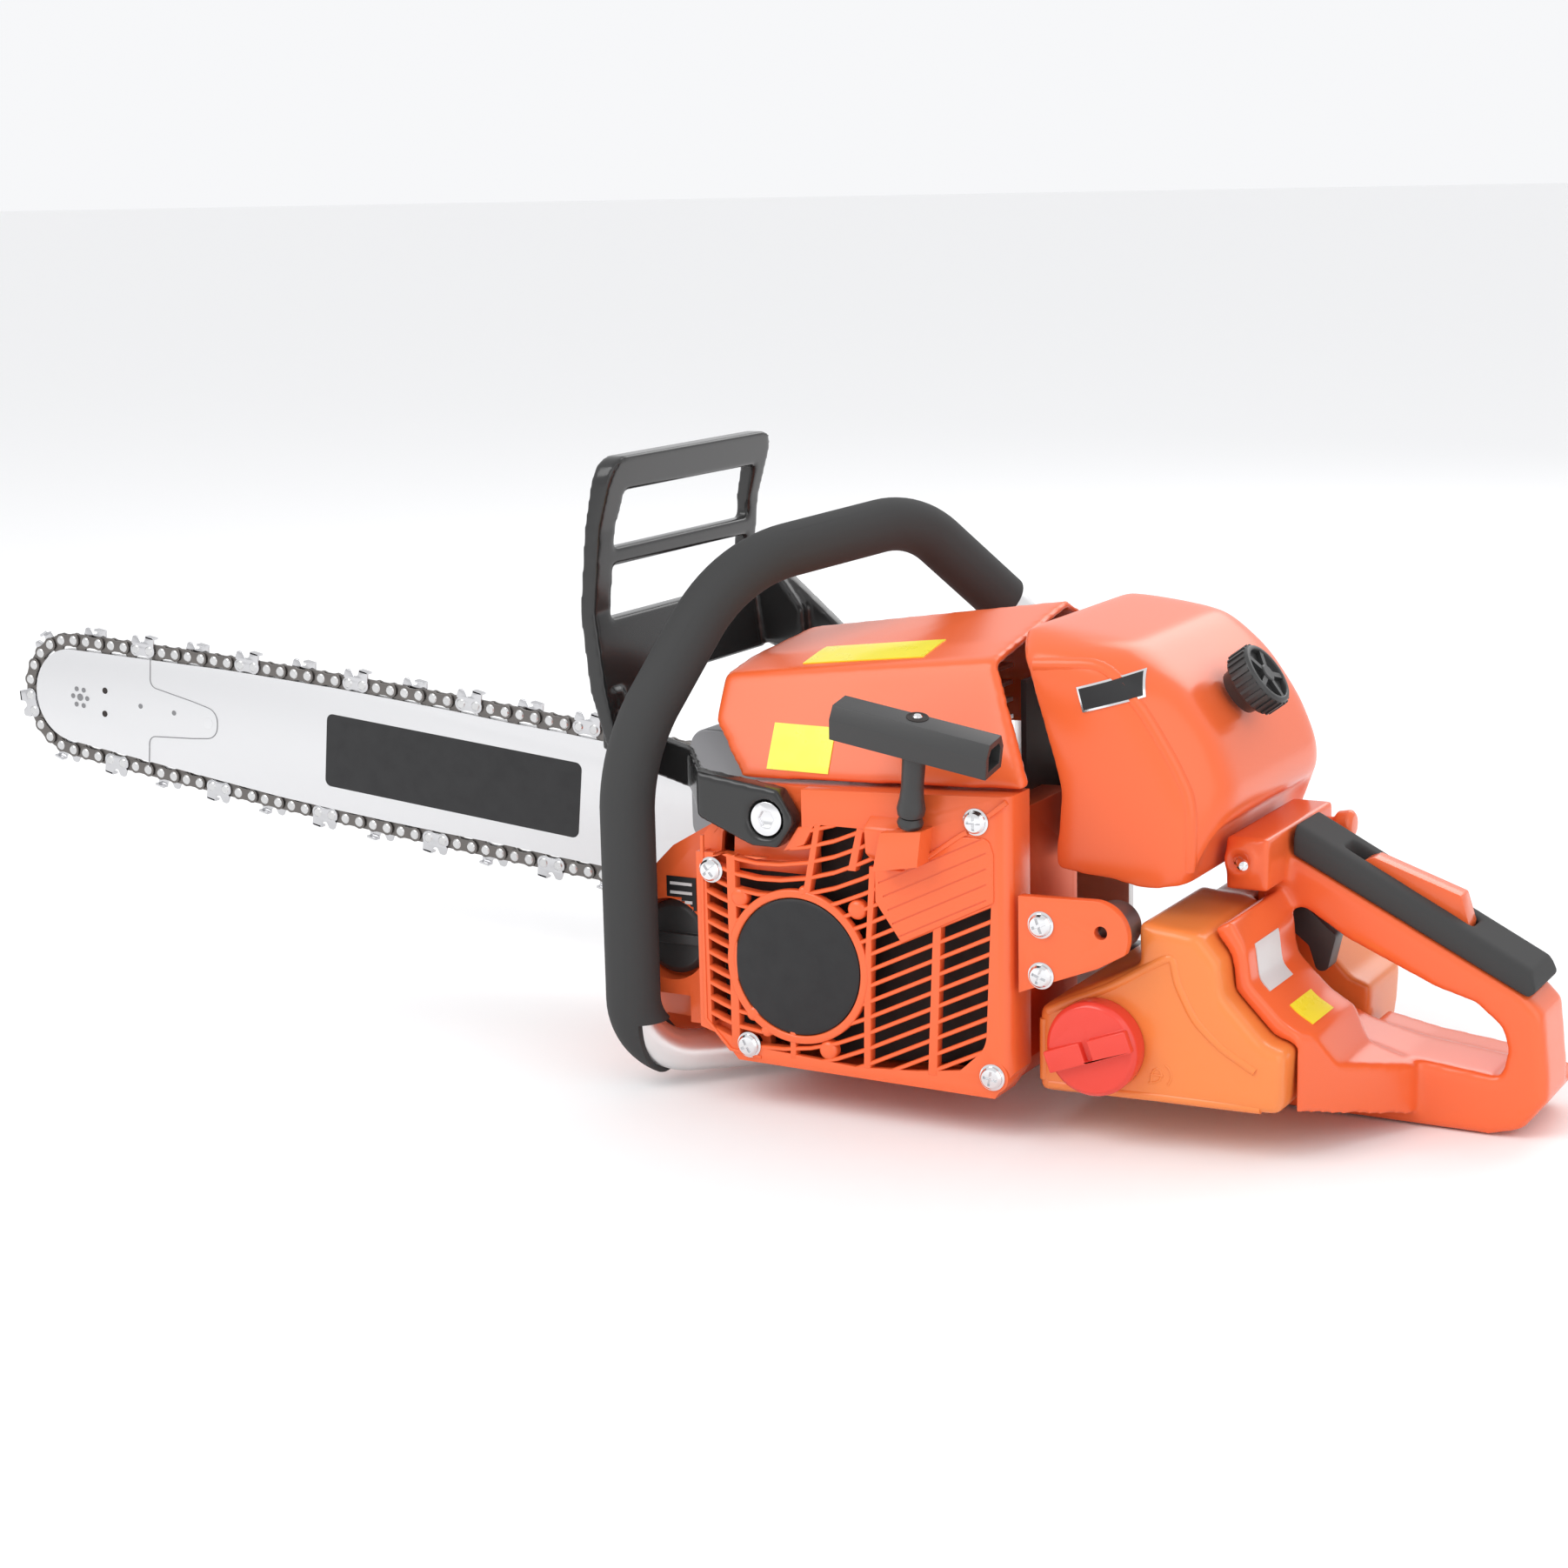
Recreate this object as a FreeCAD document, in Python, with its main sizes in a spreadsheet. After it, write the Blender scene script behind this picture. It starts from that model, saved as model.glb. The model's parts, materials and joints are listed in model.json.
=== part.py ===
import FreeCAD, Part
import math
import os
import re
import Sketcher

# Chainsaw. X points to the rear, Y to the right and Z up. The origin is on the ground under the
# crankshaft, in the plane of the cylinder and the rear handle. All sizes are in millimetres.

SIZES = {
    # overall stations
    "crank_z": (70, "height of the crankshaft above the ground"),
    "face_y": (118, "left face of the starter housing, left of the centre plane"),
    "cover_y": (92, "outer face of the clutch cover, right of the centre plane"),
    "fit": (0.05, "radial clearance of a running fit"),
    "gap": (0.4, "clearance between pieces that only lie side by side"),
    # starter side
    "shroud_wall": (3, "wall of the starter housing"),
    "shroud_depth": (22, "depth of the starter housing"),
    "shroud_rear": (107, "rear edge of the starter housing"),
    "shroud_front": (52, "front edge of the starter housing, ahead of the crankshaft"),
    "shroud_floor": (22, "underside of the starter housing"),
    "shroud_top": (158, "top edge of the starter housing at the rear"),
    "badge_radius": (32.2, "round badge on the starter housing"),
    "badge_thick": (2.6, "thickness of the badge"),
    "post_radius": (7, "post that the rope pulley turns on"),
    "pulley_radius": (34, "rope pulley"),
    "rope_radius": (28, "mean radius of the wound rope"),
    "rope_thick": (4, "diameter of the rope"),
    "flywheel_radius": (42, "flywheel"),
    # crankcase and engine
    "case_half": (44, "outer face of each crankcase wall from the centre plane"),
    "case_wall": (6, "crankcase wall"),
    "chamber_radius": (29, "crank chamber"),
    "chamber_half": (20, "half width of the crank chamber"),
    "web_radius": (27, "crank webs"),
    "stroke": (34, "piston stroke"),
    "rod_length": (66, "connecting rod between its centres"),
    "bore_radius": (24, "cylinder bore"),
    "shaft_radius": (8.5, "crankshaft journal"),
    "bearing_radius": (17.5, "outside of the main bearings"),
    "bearing_width": (12, "width of the main bearings"),
    "base_z": (106, "joint between crankcase and cylinder"),
    "head_z": (192, "top of the cylinder head"),
    "fin_half": (40, "half width of the cooling fins"),
    # clutch side
    "bar_y": (52, "centre plane of the guide bar"),
    "drum_radius": (38, "clutch drum"),
    "drum_wall": (2, "wall of the clutch drum"),
    "stud_radius": (4, "bar studs"),
    "stud_near": (68, "first bar stud ahead of the crankshaft"),
    "stud_step": (30, "distance between the bar studs"),
    # bar and chain, in the frame of the tilted bar
    "bar_tilt": (5.5, "pitch of the bar, nose up, in degrees"),
    "bar_rise": (6.1, "bar centre line above the crankshaft"),
    "bar_reach": (581, "crankshaft to nose sprocket centre"),
    "bar_tail": (46, "crankshaft to the tail end of the bar"),
    "bar_thick": (4.8, "thickness of the bar"),
    "nose_radius": (27.8, "radius of the bar at its nose"),
    "bar_half": (34.5, "half height of the bar at mid length"),
    "tail_half": (30.6, "half height of the bar at its tail"),
    "groove_wide": (1.7, "width of the chain groove"),
    "groove_deep": (8, "depth of the chain groove"),
    "rivet_rise": (5.5, "height of the rivets above the bar edge"),
    "link_pitch": (9.525, "chain pitch"),
    "link_thick": (1.5, "thickness of a drive link"),
    "strap_thick": (1.3, "thickness of a tie strap"),
    "rivet_radius": (1.9, "shank radius of a chain rivet"),
    "rim_radius": (21.2, "rivet line on the rim sprocket"),
    # front handle
    "tube_radius": (10, "front handle tube"),
    "sleeve_thick": (3, "rubber on the front handle"),
    "handle_left": (116, "left leg of the front handle, left of the centre plane"),
    "handle_ahead": (90, "left leg of the front handle, ahead of the crankshaft"),
    "handle_right": (95, "right leg of the front handle, right of the centre plane"),
    "handle_foot": (17, "centre line of the front handle at its lower left bend"),
    "handle_top": (257, "centre line of the front handle at its highest"),
    # hand guard
    "guard_pivot_x": (13, "guard pivot ahead of the crankshaft"),
    "guard_pivot_z": (139, "height of the guard pivot"),
    "guard_left": (101, "left edge of the guard"),
    "guard_right": (55, "right edge of the guard"),
    "guard_top": (299, "top of the guard"),
    "guard_ahead": (122, "front of the guard"),
    "guard_thick": (8, "thickness of the guard"),
    # covers
    "cover_seam": (157, "seam between top cover and starter housing"),
    "cover_left": (108, "left edge of the top cover"),
    "cover_right": (56, "right edge of the top cover"),
    "cover_front": (54, "front edge of the top cover, ahead of the crankshaft"),
    "cover_wall": (3, "wall of the covers"),
    "filter_front": (96, "front edge of the air cleaner cover"),
    "filter_rear": (192, "rear of the air cleaner cover"),
    "filter_top": (227, "top of the air cleaner cover"),
    "filter_foot": (107, "lower edge of the air cleaner cover"),
    "filter_left": (85, "left side of the air cleaner cover"),
    "filter_right": (72, "right side of the air cleaner cover"),
    "knob_radius": (16, "knob of the air cleaner cover"),
    # fuel tank and rear handle
    "tank_front": (112, "front of the fuel tank"),
    "tank_rear": (225, "rear of the fuel tank"),
    "tank_floor": (20, "underside of the fuel tank"),
    "tank_left": (100, "left side of the fuel tank"),
    "tank_right": (70, "right side of the fuel tank"),
    "tank_wall": (3, "wall of the tanks"),
    "fuel_cap_radius": (21.5, "fuel cap"),
    "oil_cap_radius": (18, "oil cap"),
    "trigger_x": (191, "trigger pivot behind the crankshaft"),
    "trigger_z": (90, "height of the trigger pivot"),
    "lock_x": (274, "pivot of the throttle lock behind the crankshaft"),
    "lock_z": (86, "height of the pivot of the throttle lock"),
    "pivot_radius": (1.5, "pins that the trigger and its lock turn on"),
    "grip_half": (19, "half width of the rear handle"),
    "flare_left": (86, "reach to the left of the wall that joins the hoop to the tank"),
    "grip_rear": (311, "rear end of the rear grip"),
    "hoop_rear": (320, "rear end of the rear handle"),
    "hoop_floor": (0, "underside of the rear handle"),
}

WORD = re.compile(r"[a-z][a-z_0-9]*")
V = FreeCAD.Vector
UP = V(0, 0, 1)
LEFT = V(0, -1, 0)
RIGHT = V(0, 1, 0)

doc = FreeCAD.newDocument("Chainsaw")
sheet = doc.addObject("Spreadsheet::Sheet", "Sizes")
nodes = []


def fill_sheet():
    for row, (word, (number, note)) in enumerate(SIZES.items(), start=1):
        sheet.set("A%d" % row, word)
        sheet.set("B%d" % row, str(number))
        sheet.set("C%d" % row, note)
        sheet.setAlias("B%d" % row, word)
    doc.recompute()


# --- Helpers: texts such as "face_y - 3" are expressions over the sheet's words ---

def named(text):
    return WORD.sub(lambda m: "Sizes." + m.group(0) if m.group(0) in SIZES else m.group(0), str(text))


def value(text):
    return float(sheet.evalExpression(named(text)))


def bind(thing, prop, text):
    thing.setExpression(prop, named(text))


def keep(label, thing):
    """Name a finished sub-part; its label is its file name."""
    thing.Label = label
    nodes.append(thing)
    return thing


def place(thing, at=("0", "0", "0"), turn=None):
    """Set and bind a Placement; turn is a Rotation, or an axis with an angle text."""
    rotation = FreeCAD.Rotation()
    if isinstance(turn, FreeCAD.Rotation):
        rotation = turn
    elif turn:
        rotation = FreeCAD.Rotation(turn[0], value(turn[1]))
    thing.Placement = FreeCAD.Placement(V(*[value(c) for c in at]), rotation)
    for axis, text in zip("xyz", at):
        bind(thing, "Placement.Base." + axis, text)
    if isinstance(turn, tuple):
        bind(thing, "Placement.Rotation.Angle", turn[1])


def facing(direction):
    """Rotation that turns local Z to a direction."""
    return FreeCAD.Rotation(UP, direction)


def new_body(label, at=("0", "0", "0"), turn=None):
    body = doc.addObject("PartDesign::Body", label)
    place(body, at, turn)
    return keep(label, body)


def corners(text):
    """Split "x, y; x, y, r; ..." into corners; r makes an arc of radius r to the next corner."""
    return [[part.strip() for part in corner.split(",")] for corner in text.split(";")]


def arc_between(start, end, radius):
    """The short arc of a radius from start to end; a negative radius bends it the other way."""
    chord = end - start
    side = V(-chord.y, chord.x, 0).normalize()
    height = math.sqrt(radius ** 2 - (chord.Length / 2) ** 2)
    centre = start + chord * 0.5 + side * math.copysign(height, radius)
    first, last = (start, end) if radius > 0 else (end, start)
    angles = [math.atan2(p.y - centre.y, p.x - centre.x) for p in (first, last)]
    return Part.ArcOfCircle(Part.Circle(centre, UP, abs(radius)), angles[0], angles[1])


def add_outline(sketch, text):
    """A closed outline of lines and arcs, with every corner bound to the sheet."""
    shape = corners(text)
    points = [V(value(c[0]), value(c[1]), 0) for c in shape]
    ends = []
    for i, corner in enumerate(shape):
        start, end = points[i], points[(i + 1) % len(points)]
        radius = value(corner[2]) if len(corner) > 2 else 0
        if radius:
            edge = sketch.addGeometry(arc_between(start, end, radius))
            ends.append((edge, 1, 2) if radius > 0 else (edge, 2, 1))
            spot = sketch.addConstraint(Sketcher.Constraint("Radius", edge, abs(radius)))
            bind(sketch, "Constraints[%d]" % spot, "abs(%s)" % corner[2])
        else:
            edge = sketch.addGeometry(Part.LineSegment(start, end))
            ends.append((edge, 1, 2))
    for i, corner in enumerate(shape):
        edge, first, last = ends[i]
        after, after_first, after_last = ends[(i + 1) % len(ends)]
        sketch.addConstraint(Sketcher.Constraint("Coincident", edge, last, after, after_first))
        for kind, text_, number in (("DistanceX", corner[0], points[i].x), ("DistanceY", corner[1], points[i].y)):
            spot = sketch.addConstraint(Sketcher.Constraint(kind, edge, first, number))
            bind(sketch, "Constraints[%d]" % spot, text_)


def add_circle(sketch, text):
    """A circle given as "x, y, radius"."""
    x, y, radius = corners(text)[0]
    edge = sketch.addGeometry(Part.Circle(V(value(x), value(y), 0), UP, value(radius)))
    for kind, text_ in (("DistanceX", x), ("DistanceY", y)):
        spot = sketch.addConstraint(Sketcher.Constraint(kind, edge, 3, value(text_)))
        bind(sketch, "Constraints[%d]" % spot, text_)
    spot = sketch.addConstraint(Sketcher.Constraint("Radius", edge, value(radius)))
    bind(sketch, "Constraints[%d]" % spot, radius)


def new_sketch(body, plane, level, outlines=(), circles=(), origin=("0", "0")):
    """A sketch on one of the body's own planes, moved along its normal by level."""
    sketch = body.newObject("Sketcher::SketchObject", body.Label + "_sketch")
    role = {"XY": "XY_Plane", "XZ": "XZ_Plane", "YZ": "YZ_Plane"}[plane]
    support = [f for f in body.Origin.OriginFeatures if f.Role == role][0]
    sketch.AttachmentSupport = [(support, "")]
    sketch.MapMode = "FlatFace"
    for axis, text in zip("xyz", (origin[0], origin[1], level)):
        bind(sketch, "AttachmentOffset.Base." + axis, text)
    for text in outlines:
        add_outline(sketch, text)
    for text in circles:
        add_circle(sketch, text)
    return sketch


def slab(body, plane, low, high, *outlines, circles=(), origin=("0", "0"), cut=False):
    """Add or cut a slab between two coordinates along the plane's normal axis."""
    if plane == "XZ":
        level = "-(%s)" % (low if cut else high)
    else:
        level = high if cut else low
    sketch = new_sketch(body, plane, level, outlines, circles, origin)
    feature = body.newObject("PartDesign::Pocket" if cut else "PartDesign::Pad", body.Label + "_slab")
    feature.Profile = sketch
    bind(feature, "Length", "(%s) - (%s)" % (high, low))
    body.Tip = feature
    return feature


def drill(body, plane, low, high, *circles, origin=("0", "0")):
    return slab(body, plane, low, high, circles=circles, origin=origin, cut=True)


def turned(body, *outlines, cut=False):
    """Revolve outlines given as radius and height about the body's Z axis."""
    sketch = new_sketch(body, "XZ", "0", outlines)
    feature = body.newObject("PartDesign::Groove" if cut else "PartDesign::Revolution", body.Label + "_turn")
    feature.Profile = sketch
    feature.ReferenceAxis = (sketch, ["V_Axis"])
    feature.Angle = 360
    body.Tip = feature
    return feature


def loft(body, plane, sections, cut=False):
    """Loft through (level, outline) sections."""
    sketches = [new_sketch(body, plane, level, [text]) for level, text in sections]
    feature = body.newObject("PartDesign::SubtractiveLoft" if cut else "PartDesign::AdditiveLoft",
                             body.Label + "_loft")
    feature.Profile = sketches[0]
    feature.Sections = sketches[1:]
    feature.Ruled = True
    body.Tip = feature
    return feature


def soften(body, radius, wanted, kind="Fillet"):
    """Round or chamfer the edges that a test picks."""
    doc.recompute()
    base = body.Tip
    names = ["Edge%d" % (i + 1) for i, edge in enumerate(base.Shape.Edges) if wanted(edge)]
    feature = body.newObject("PartDesign::" + kind, body.Label + "_edge")
    feature.Base = (base, names)
    bind(feature, "Radius" if kind == "Fillet" else "Size", radius)
    body.Tip = feature


def along(direction):
    """Test for straight edges along a direction."""
    def test(edge):
        ends = [v.Point for v in edge.Vertexes]
        return len(ends) == 2 and abs((ends[1] - ends[0]).normalize().dot(direction)) > 0.999
    return test


def on_level(axis, text):
    """Test for edges that lie in one plane across an axis."""
    number = value(text)

    def test(edge):
        box = edge.BoundBox
        low, high = getattr(box, axis + "Min"), getattr(box, axis + "Max")
        return abs(low - number) < 0.01 and abs(high - number) < 0.01
    return test


def polar(body, feature, count, sketch):
    pattern = body.newObject("PartDesign::PolarPattern", body.Label + "_round")
    pattern.Originals = [feature]
    pattern.Axis = (sketch, ["N_Axis"])
    pattern.Angle = 360
    pattern.Occurrences = count
    body.Tip = pattern


def linear(body, feature, count, length, sketch, axis="V_Axis"):
    pattern = body.newObject("PartDesign::LinearPattern", body.Label + "_row")
    pattern.Originals = [feature]
    pattern.Direction = (sketch, [axis])
    bind(pattern, "Length", length)
    pattern.Occurrences = count
    body.Tip = pattern


def rod(label, radius, length, at, direction):
    """A plain round Part cylinder."""
    cylinder = doc.addObject("Part::Cylinder", label)
    bind(cylinder, "Radius", radius)
    bind(cylinder, "Height", length)
    place(cylinder, at, facing(direction))
    return cylinder


def hexagon(label, radius, length, at, direction):
    prism = doc.addObject("Part::Prism", label)
    prism.Polygon = 6
    bind(prism, "Circumradius", radius)
    bind(prism, "Height", length)
    place(prism, at, facing(direction))
    return prism


def cut_from(label, base, tool):
    result = doc.addObject("Part::Cut", label)
    result.Base, result.Tool = base, tool
    return result


def fused(label, *pieces):
    result = doc.addObject("Part::MultiFuse", label)
    result.Shapes = list(pieces)
    return result


def group(label, pieces):
    """Separate solids that share one node."""
    result = doc.addObject("Part::Compound", label)
    result.Links = pieces
    return keep(label, result)


def shifted(at, direction, distance):
    """A place moved along a direction, as expression texts."""
    return tuple("%s + (%.6f) * (%s)" % (text, part, distance) for text, part in zip(at, direction))


def screw(label, at, direction, head="5", shank="2.5", length="14"):
    """A socket screw: at is the seat of the head, direction points out of it."""
    cap = rod(label + "_cap", head, "3.4", at, direction)
    socket = hexagon(label + "_socket", "%s * 0.5" % head, "2.4", shifted(at, direction, "1.4"), direction)
    stem = rod(label + "_stem", shank, length, shifted(at, direction, "-(%s)" % length), direction)
    return fused(label, cut_from(label + "_head", cap, socket), stem)


# --- Crankcase, crank and cylinder ---

AXIS = ("0", "crank_z")


def make_crankcase_left():
    body = new_body("crankcase_left")
    slab(body, "XZ", "-case_half", "0", circles=["0, 0, chamber_radius + case_wall"], origin=AXIS)
    slab(body, "XZ", "-case_half", "case_wall - case_half",
         "gap - shroud_front, shroud_floor + 12; -30, shroud_floor + gap; shroud_rear - 8, shroud_floor + gap;"
         "shroud_rear - 2, 40; shroud_rear - 2, 120; -30, 120; gap - shroud_front, 100")
    slab(body, "XZ", "gap + shroud_depth - face_y", "-case_half",
         "gap - shroud_front, shroud_floor + 14; -42, shroud_floor + 11; -32, shroud_floor + gap;"
         "shroud_rear - 8, shroud_floor + gap; shroud_rear - 2, 33; shroud_rear - 2, cover_seam - 8;"
         "-30, cover_seam - 12; gap - shroud_front, 130",
         "4 - shroud_front, shroud_floor + 18; -38, shroud_floor + 14; -29, shroud_floor + 4;"
         "shroud_rear - 12, shroud_floor + 4; shroud_rear - 6, 36; shroud_rear - 6, cover_seam - 12;"
         "-28, cover_seam - 16; 4 - shroud_front, 128")
    slab(body, "XY", "crank_z", "base_z - gap", "-34, -34; 34, -34; 34, 0; -34, 0")
    slab(body, "XZ", "-38", "0", "-30, 12; 30, 12; 30, crank_z; -30, crank_z")
    drill(body, "XZ", "-chamber_half", "0", "0, 0, chamber_radius", origin=AXIS)
    drill(body, "XZ", "-(chamber_half + bearing_width)", "-chamber_half", "0, 0, bearing_radius", origin=AXIS)
    drill(body, "XZ", "-case_half", "-chamber_half", "0, 0, shaft_radius + 2", origin=AXIS)
    drill(body, "XY", "crank_z", "base_z", "0, 0, bore_radius + 1")


def make_crankcase_right():
    body = new_body("crankcase_right")
    slab(body, "XZ", "0", "case_half", circles=["0, 0, chamber_radius + case_wall"], origin=AXIS)
    slab(body, "XZ", "case_half - case_wall", "case_half",
         "-104, 20; shroud_rear - 12, 20; shroud_rear - 7, 40; shroud_rear - 7, 112; 50, 122; -20, 122; -104, 110")
    slab(body, "XZ", "case_half", "bar_y - bar_thick / 2 - gap / 2",
         "-104, 58; -50, 58; -50, 98; -104, 98")
    slab(body, "XZ", "case_half", "case_half + 4.9", "-94, 44; -84, 44; -84, 56; -94, 56")
    drill(body, "YZ", "-94", "-84", "case_half + 2.7, 50, 1.8 + fit")
    slab(body, "XY", "crank_z", "base_z - gap", "-34, 0; 34, 0; 34, 34; -34, 34")
    slab(body, "XZ", "0", "case_half - case_wall", "-30, 11; 60, 11; 60, crank_z; -30, crank_z")
    slab(body, "XY", "0", "12 - gap", "-60, -8; 70, -8; 70, case_half; -60, case_half")
    drill(body, "XZ", "0", "chamber_half", "0, 0, chamber_radius", origin=AXIS)
    drill(body, "XZ", "chamber_half", "chamber_half + bearing_width", "0, 0, bearing_radius", origin=AXIS)
    drill(body, "XZ", "chamber_half", "case_half", "0, 0, shaft_radius + 2", origin=AXIS)
    drill(body, "XY", "crank_z", "base_z", "0, 0, bore_radius + 1")
    drill(body, "XZ", "case_half - case_wall", "bar_y",
          "-stud_near * cos(bar_tilt), stud_near * sin(bar_tilt), stud_radius",
          "-(stud_near + stud_step) * cos(bar_tilt), (stud_near + stud_step) * sin(bar_tilt), stud_radius",
          origin=AXIS)
    soften(body, "4", lambda e: along(RIGHT)(e) and e.BoundBox.YMin > value("case_half - case_wall") - 0.1
           and e.BoundBox.XMin > 60)


def make_main_bearings():
    rings = []
    for side, start in (("left", "-(chamber_half + bearing_width)"), ("right", "chamber_half")):
        at = ("0", start, "crank_z")
        outer = rod("bearing_" + side, "bearing_radius", "bearing_width", at, RIGHT)
        bore = rod("bearing_bore_" + side, "shaft_radius + fit", "bearing_width", at, RIGHT)
        rings.append(cut_from("bearing_ring_" + side, outer, bore))
    group("main_bearings", rings)


def make_crankshaft():
    body = new_body("crankshaft", ("0", "0", "crank_z"), facing(RIGHT))
    turned(body, "0, 8; web_radius, 8; web_radius, 18; shaft_radius + 4, 18; shaft_radius + 4, chamber_half - gap;"
                 "shaft_radius, chamber_half - gap; shaft_radius, case_half + 4; 8, case_half + 4;"
                 "8, 80; 0, 80")
    turned(body, "0, -8; web_radius, -8; web_radius, -18; shaft_radius + 4, -18;"
                 "shaft_radius + 4, gap - chamber_half; shaft_radius, gap - chamber_half;"
                 "shaft_radius, -case_half - 6; 8, -case_half - 6; 8, -90; 0, -90")
    # the crank pin joins the webs at half a stroke from the axis; local -Y is up once the shaft lies along Y
    slab(body, "XY", "-8", "8", circles=["0, -stroke / 2, 7"])


def make_flywheel():
    body = new_body("flywheel", ("0", "0", "crank_z"), facing(LEFT))
    turned(body, "8, case_half + 8; 16, case_half + 8; 20, case_half + 14; flywheel_radius, case_half + 14;"
                 "flywheel_radius, case_half + 28; 20, case_half + 28; 14, case_half + 40; 8, case_half + 40")
    blade = slab(body, "XY", "case_half + 27", "case_half + 40",
                 "12, -1; flywheel_radius - 1, -1; flywheel_radius - 1, 1; 12, 1")
    doc.recompute()
    polar(body, blade, 20, blade.Profile[0])


def make_cylinder():
    body = new_body("cylinder")
    slab(body, "XY", "base_z", "base_z + 8", "-33, -32; 33, -32; 33, 32; -33, 32")
    slab(body, "XY", "base_z", "head_z", circles=["0, 0, bore_radius + 5"])
    fin = slab(body, "XY", "base_z + 14", "base_z + 16",
               "-fin_half, -36; 14 - fin_half, 6 - fin_half; fin_half - 14, 6 - fin_half; fin_half, -36;"
               "fin_half, 36; fin_half - 14, fin_half - 6; 14 - fin_half, fin_half - 6; -fin_half, 36")
    doc.recompute()
    linear(body, fin, 9, "head_z - base_z - 18", fin.Profile[0], "N_Axis")
    # exhaust port to the front, inlet port to the rear
    slab(body, "YZ", "-fin_half - 3", "-bore_radius - 2", "-18, 122; 18, 122; 18, 146; -18, 146")
    slab(body, "YZ", "bore_radius + 2", "fin_half + 4", "-16, 120; 16, 120; 16, 148; -16, 148")
    drill(body, "XY", "base_z", "crank_z + stroke / 2 + rod_length + 22", "0, 0, bore_radius")
    drill(body, "YZ", "-fin_half - 3", "0", "0, 134, 9")
    drill(body, "YZ", "0", "fin_half + 4", "0, 134, 10")
    drill(body, "XY", "head_z - 20", "head_z", "0, 0, 5")
    soften(body, "6", lambda e: along(UP)(e) and e.BoundBox.ZMax < value("base_z + 9")
           and abs(abs(e.BoundBox.XMin) - 33) < 0.1)


def make_piston():
    crown = "crank_z + stroke / 2 + rod_length"
    body = new_body("piston", ("0", "0", crown))
    turned(body, "0, 20; bore_radius - fit, 20; bore_radius - fit, -18; bore_radius - 4, -18;"
                 "bore_radius - 4, 14; 0, 14")
    drill(body, "XZ", "-bore_radius", "bore_radius", "0, 0, 5.5")
    pin = rod("pin_bar", "5.5", "2 * bore_radius - 4", ("0", "2 - bore_radius", crown), RIGHT)
    keep("piston_pin", pin)


def make_muffler():
    body = new_body("muffler")
    slab(body, "XY", "100", "158", "-108, -26; -50, -26; -50, 37; -108, 37")
    slab(body, "YZ", "-50", "-fin_half - 3 - gap / 4", "-18, 122; 18, 122; 18, 146; -18, 146")
    soften(body, "10", lambda e: along(RIGHT)(e) and e.BoundBox.XMax < -100)
    slab(body, "XY", "102", "156", "-104, -24; -52, -24; -52, 28; -104, 28", cut=True)
    soften(body, "5", lambda e: along(UP)(e) and e.BoundBox.ZMin < 115 and e.BoundBox.XMin > -60)
    slab(body, "XZ", "30", "50", circles=["-94, 140, 8"])
    drill(body, "XZ", "42", "50", "-94, 140, 6")


def make_fuel_system():
    boot = new_body("intake_boot")
    slab(boot, "YZ", "fin_half + 4 + gap / 4", "fin_half + 9", "-16, 120; 16, 120; 16, 148; -16, 148")
    slab(boot, "YZ", "fin_half + 9", "filter_front - 14", circles=["0, 134, 15"])
    drill(boot, "YZ", "fin_half", "filter_front - 14", "0, 134, 10")
    carburetor = new_body("carburetor")
    slab(carburetor, "YZ", "filter_front - 14", "filter_front + 22", "-19, 118; 19, 118; 19, 152; -19, 152")
    drill(carburetor, "YZ", "filter_front - 14", "filter_front + 22", "0, 134, 10")
    slab(carburetor, "XZ", "-26", "-19", circles=["filter_front + 4, 140, 7"])
    soften(carburetor, "2", lambda e: along(V(1, 0, 0))(e))
    cleaner = new_body("air_filter")
    slab(cleaner, "YZ", "filter_front + 22", "filter_front + 30", "-44, 118; 44, 118; 44, 190; -44, 190",
         circles=["0, 134, 10"])
    slab(cleaner, "YZ", "filter_front + 30", "filter_front + 52", "-40, 122; 40, 122; 40, 178; -40, 178")
    soften(cleaner, "8", lambda e: along(V(1, 0, 0))(e) and e.BoundBox.XMax > value("filter_front + 31"))


def make_ignition():
    coil = new_body("ignition_coil")
    slab(coil, "XZ", "-70", "-56", "-20, 115; 24, 115; 24, 139; -20, 139", "-9, 124; 11, 124; 11, 132; -9, 132")
    slab(coil, "XZ", "-56", "-case_half - gap", circles=["-15, 134, 3.5", "19, 134, 3.5"])
    plug = new_body("spark_plug")
    slab(plug, "XY", "head_z - 16", "head_z", circles=["0, 0, 5"])
    slab(plug, "XY", "head_z", "head_z + 6", circles=["0, 0, 8"])
    slab(plug, "XY", "head_z + 6", "head_z + 14", circles=["0, 0, 4.5"])


def make_oil_pump():
    body = new_body("oil_pump", ("0", "case_half + gap / 2", "crank_z"), facing(RIGHT))
    slab(body, "XY", "0", "4", circles=["0, 0, 24", "0, 0, shaft_radius + 3"])
    slab(body, "XY", "0", "3", "-30, -6; -22, -7; -22, 7; -30, 6")


# --- Starter ---

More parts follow.
